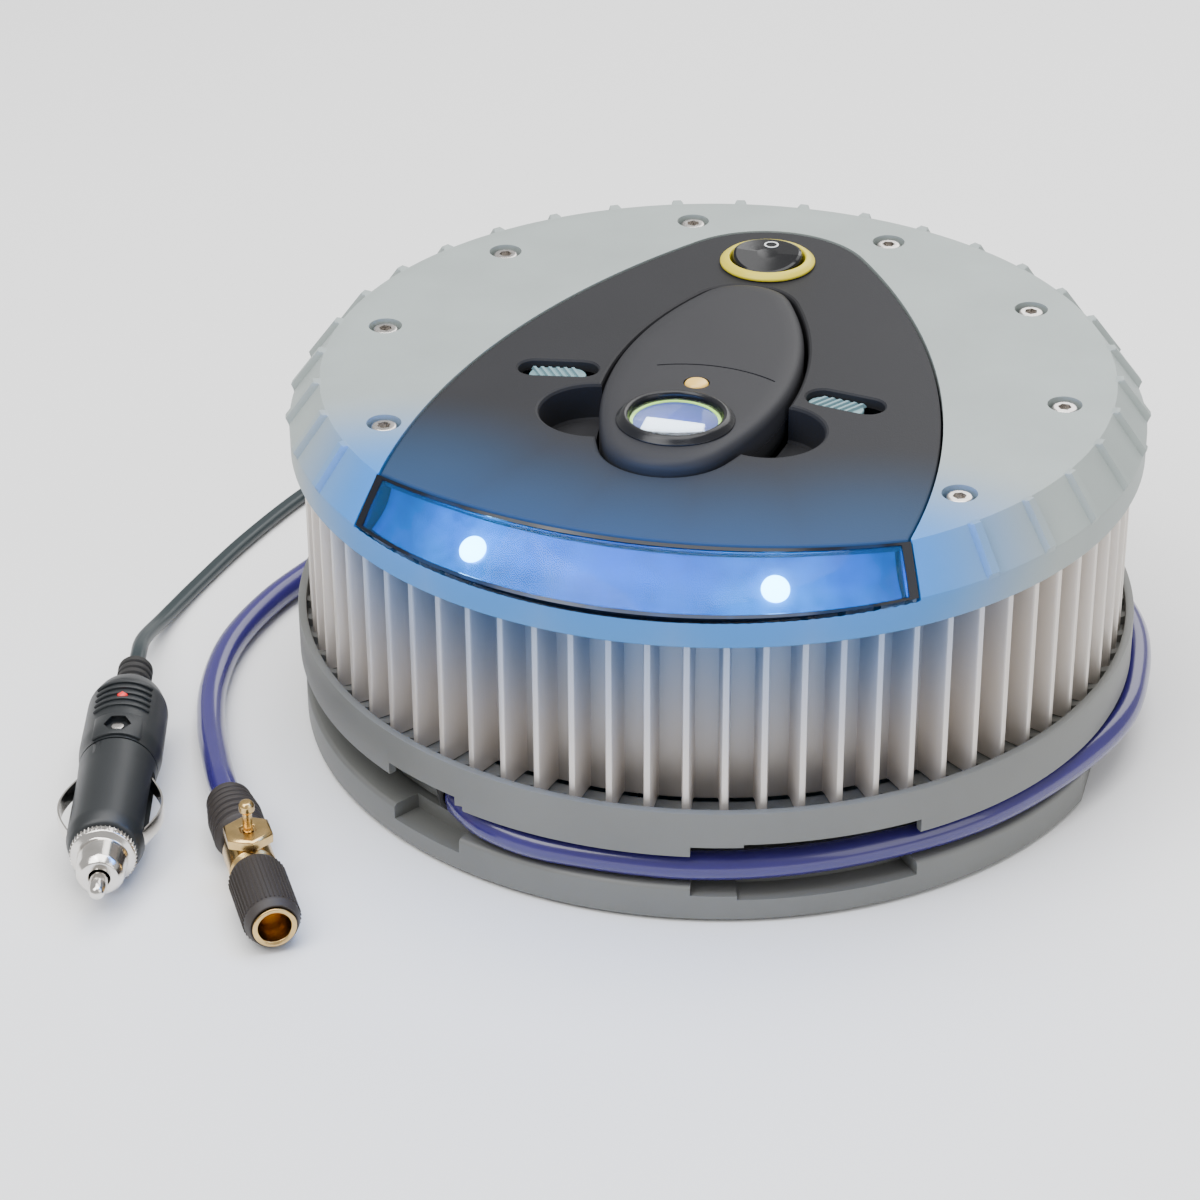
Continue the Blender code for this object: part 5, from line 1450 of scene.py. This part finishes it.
class INFLATOR_OT_gauge(bpy.types.Operator):
    """Lift-out pressure gauge: shells, bezel, lit display and button"""

    bl_idname = "inflator.gauge"
    bl_label = "Gauge"

    def execute(self, context):
        def level(inset, drop):
            return [(x, y, gauge_top(y) - drop) for x, y in gauge_outline(-inset)]

        def flat(inset, z):
            return [(x, y, z) for x, y in gauge_outline(-inset)]

        steps = mm((0, 3), (0.1, 2.2), (0.5, 1.3), (1.1, 0.6), (2, 0.2))
        steps += mm((3.1, 0), (6, -0.1))
        loops = [flat(0, GAUGE_SPLIT + 0.0002)] + [level(a, b) for a, b in steps]
        front = plain("gauge_front", loft(loops))
        hollow = loft([flat(0.0018, 0.0970), level(0.0018, 0.0028)])
        window = prism(circle(0.0139, 64), -0.01, 0.01)
        hole = prism(circle(0.0036, 32), -0.01, 0.01)
        groove = arc((0.002, 0), 0.0340, 58, 116, 40) + arc((0.002, 0), 0.0346, 116, 58, 40)
        groove = prism(groove, -0.00025, 0.005)
        carve(
            front,
            "DIFFERENCE",
            plain("hollow", hollow),
            plain("window", window, gauge_tilt(BEZEL_Y)),
            plain("hole", hole, gauge_tilt(BUTTON_Y)),
            plain("groove", groove, gauge_tilt(BEZEL_Y)),
        )
        dress(front, "gauge plastic", "gauge", ("gauge_front_shell",), sharp=30)

        loops = [flat(0.0030, 0.0905), flat(0.0014, 0.0912), flat(0.0006, 0.0930), flat(0, 0.0960)]
        back = plain("gauge_back", loft([*loops, flat(0, GAUGE_SPLIT)]))
        hollow = loft([flat(0.0048, 0.0923), flat(0.0018, 0.1010)])
        nozzle = prism(circle(0.0047, 32, (0, 0.034)), 0.08, 0.0945)
        carve(back, "DIFFERENCE", plain("hollow", hollow), plain("nozzle", nozzle))
        dress(back, "gauge plastic", "gauge", ("gauge_back_shell",))
        paint("turned brass", "gauge_nozzle")

        spot = gauge_tilt(BEZEL_Y)
        bezel = mm(
            (12.4, -1.2), (13.5, -1.2), (13.5, 0.2), (16, 0.2), (15.4, 0.8), (14.5, 1.8),
            (13.6, 2.2), (12.8, 1.9), (12.4, 1)
        )
        bezel = plain("bezel", turned(bezel, 0.0006, 128), spot)
        dress(bezel, "satin black", "gauge", ("gauge_bezel",), sharp=60)
        lens = mm((0, -0.2), (12.2, -0.2), (12.2, 0.3), (7, 0.7), (0, 0.8))
        lens = plain("gauge_window", turned(lens, 0.0003, 72, 2), spot)
        dress(lens, "clear window", "gauge", ("gauge_lens",))
        board = loft([flat(0.0062, 0.0994), flat(0.0062, 0.1006)])
        board = plain("display_board", board, material="gear nylon")
        screen = plain("screen", prism(circle(0.0114, 64), -0.0066, -0.0009), spot, "lit display")
        halo = mm((11.2, -1.2), (11.2, -0.5), (12, -0.5), (12, -1.2))
        halo = plain("halo", turned(halo, 0, 64, 1), spot, "lime ring")
        window = box((-0.0078, -0.0082, -0.0010), (0.0078, 0.0002, -0.0006))
        window = plain("reading", window, spot, "reading window")
        merge(board, screen, halo, window)
        dress(board, None, "gauge", ("gauge_display",))
        button = mm(
            (0, -3.6), (4.5, -3.6), (4.5, -2.6), (3.3, -2.6), (3.3, 0.3), (2.7, 0.9), (0, 1.1)
        )
        button = plain("button", turned(button, 0.0005, 48), gauge_tilt(BUTTON_Y, -0.0004))
        dress(button, "amber button", "gauge_button", ("gauge_button",))
        return {"FINISHED"}


class INFLATOR_OT_light(bpy.types.Operator):
    """Work light: frame, clear lens, bowl with painted glow and its two lamps"""

    bl_idname = "inflator.light"
    bl_label = "Work light"

    def execute(self, context):
        rim = plain("light_rim", light_slab(-0.1, 0.012, 0.980, 0.0, -0.0058, across=2))
        under = TOP - PANEL_THICKNESS - FIT
        space = plain("space", prism(panel_outline(0.0001), under, TOP + 0.01))
        window = plain("window", light_slab(-1.35, 0.06, 0.93, 0.004, -0.020, across=2))
        carve(rim, "DIFFERENCE", space, window)
        dress(rim, "gloss black", replaces=("light_frame",))

        def bulge(height):
            return lambda across: height * math.sin(math.pi * across)

        lens = light_slab(-1.45, 0.07, 0.92, -0.0002, -0.0016, 96, 6, bulge(0.0003))
        lens = plain("light_window", lens)
        dress(lens, "light window", replaces=("light_lens",), sharp=50)

        # The bowl behind the lens is no lamp: its glow is painted light in its material.
        bowl = light_slab(-1.6, 0.08, 0.91, -0.0036, -0.0056, 120, 6, bulge(-0.0012))
        bowl = plain("light_bowl", bowl)
        dress(bowl, "lamp bowl", replaces=("light_reflector",), sharp=60)
        board = plain("lamp_board", light_slab(-6, 0.32, 0.68, -0.0060, -0.0072, across=1))
        for angle in LAMP_ANGLES:
            middle = light_point(angle, 0.5, 0)
            outward = (light_point(angle, 0.5, 0.001) - middle).normalized()
            turn = outward.to_track_quat("Z", "Y").to_matrix().to_4x4()
            place = Matrix.Translation(middle) @ turn
            led = mm((0, -6.6), (3.6, -6.6), (3.6, -4), (2.6, -3), (0, -2.6))
            led = plain("led", turned(led, 0.0006, 32), place, "lamp white")
            merge(board, led)
        dress(board, None, replaces=("work_led_board",))
        return {"FINISHED"}


class INFLATOR_OT_works(bpy.types.Operator):
    """Motor, crank drive and cylinder inside the drum"""

    bl_idname = "inflator.works"
    bl_label = "Compressor"

    def execute(self, context):
        paint("plated steel", "motor_can", "gearbox_frame", "cylinder_head")
        paint("screw steel", "cylinder")
        paint("motor windings", "motor_armature")
        paint("gear nylon", "crank_gear")
        paint("piston plastic", "piston_rod", "cooling_fan")
        return {"FINISHED"}


class INFLATOR_PT_panel(bpy.types.Panel):
    """Lists the pieces, their sizes and their colours"""

    bl_label = "Inflator"
    bl_idname = "INFLATOR_PT_panel"
    bl_space_type = "VIEW_3D"
    bl_region_type = "UI"
    bl_category = "Inflator"

    def draw(self, context):
        layout = self.layout
        for group in (context.scene.inflator_sizes, context.scene.inflator_colours):
            for name in group.bl_rna.properties.keys():
                if name not in {"rna_type", "name"}:
                    layout.prop(group, name)
        for operator in OPERATORS:
            layout.operator(operator.bl_idname)


OPERATORS = (
    INFLATOR_OT_stage,
    INFLATOR_OT_hose,
    INFLATOR_OT_power_cord,
    INFLATOR_OT_base,
    INFLATOR_OT_fins,
    INFLATOR_OT_cover,
    INFLATOR_OT_panel,
    INFLATOR_OT_switch,
    INFLATOR_OT_gauge,
    INFLATOR_OT_light,
    INFLATOR_OT_works,
)
CLASSES = (InflatorSizes, InflatorColours, *OPERATORS, INFLATOR_PT_panel)


def register():
    for cls in CLASSES:
        bpy.utils.register_class(cls)
    bpy.types.Scene.inflator_sizes = bpy.props.PointerProperty(type=InflatorSizes)
    bpy.types.Scene.inflator_colours = bpy.props.PointerProperty(type=InflatorColours)


def unregister():
    del bpy.types.Scene.inflator_colours
    del bpy.types.Scene.inflator_sizes
    for cls in reversed(CLASSES):
        bpy.utils.unregister_class(cls)


def main():
    register()
    for operator in OPERATORS:
        getattr(bpy.ops.inflator, operator.bl_idname.split(".")[1])()


if __name__ == "__main__":
    main()
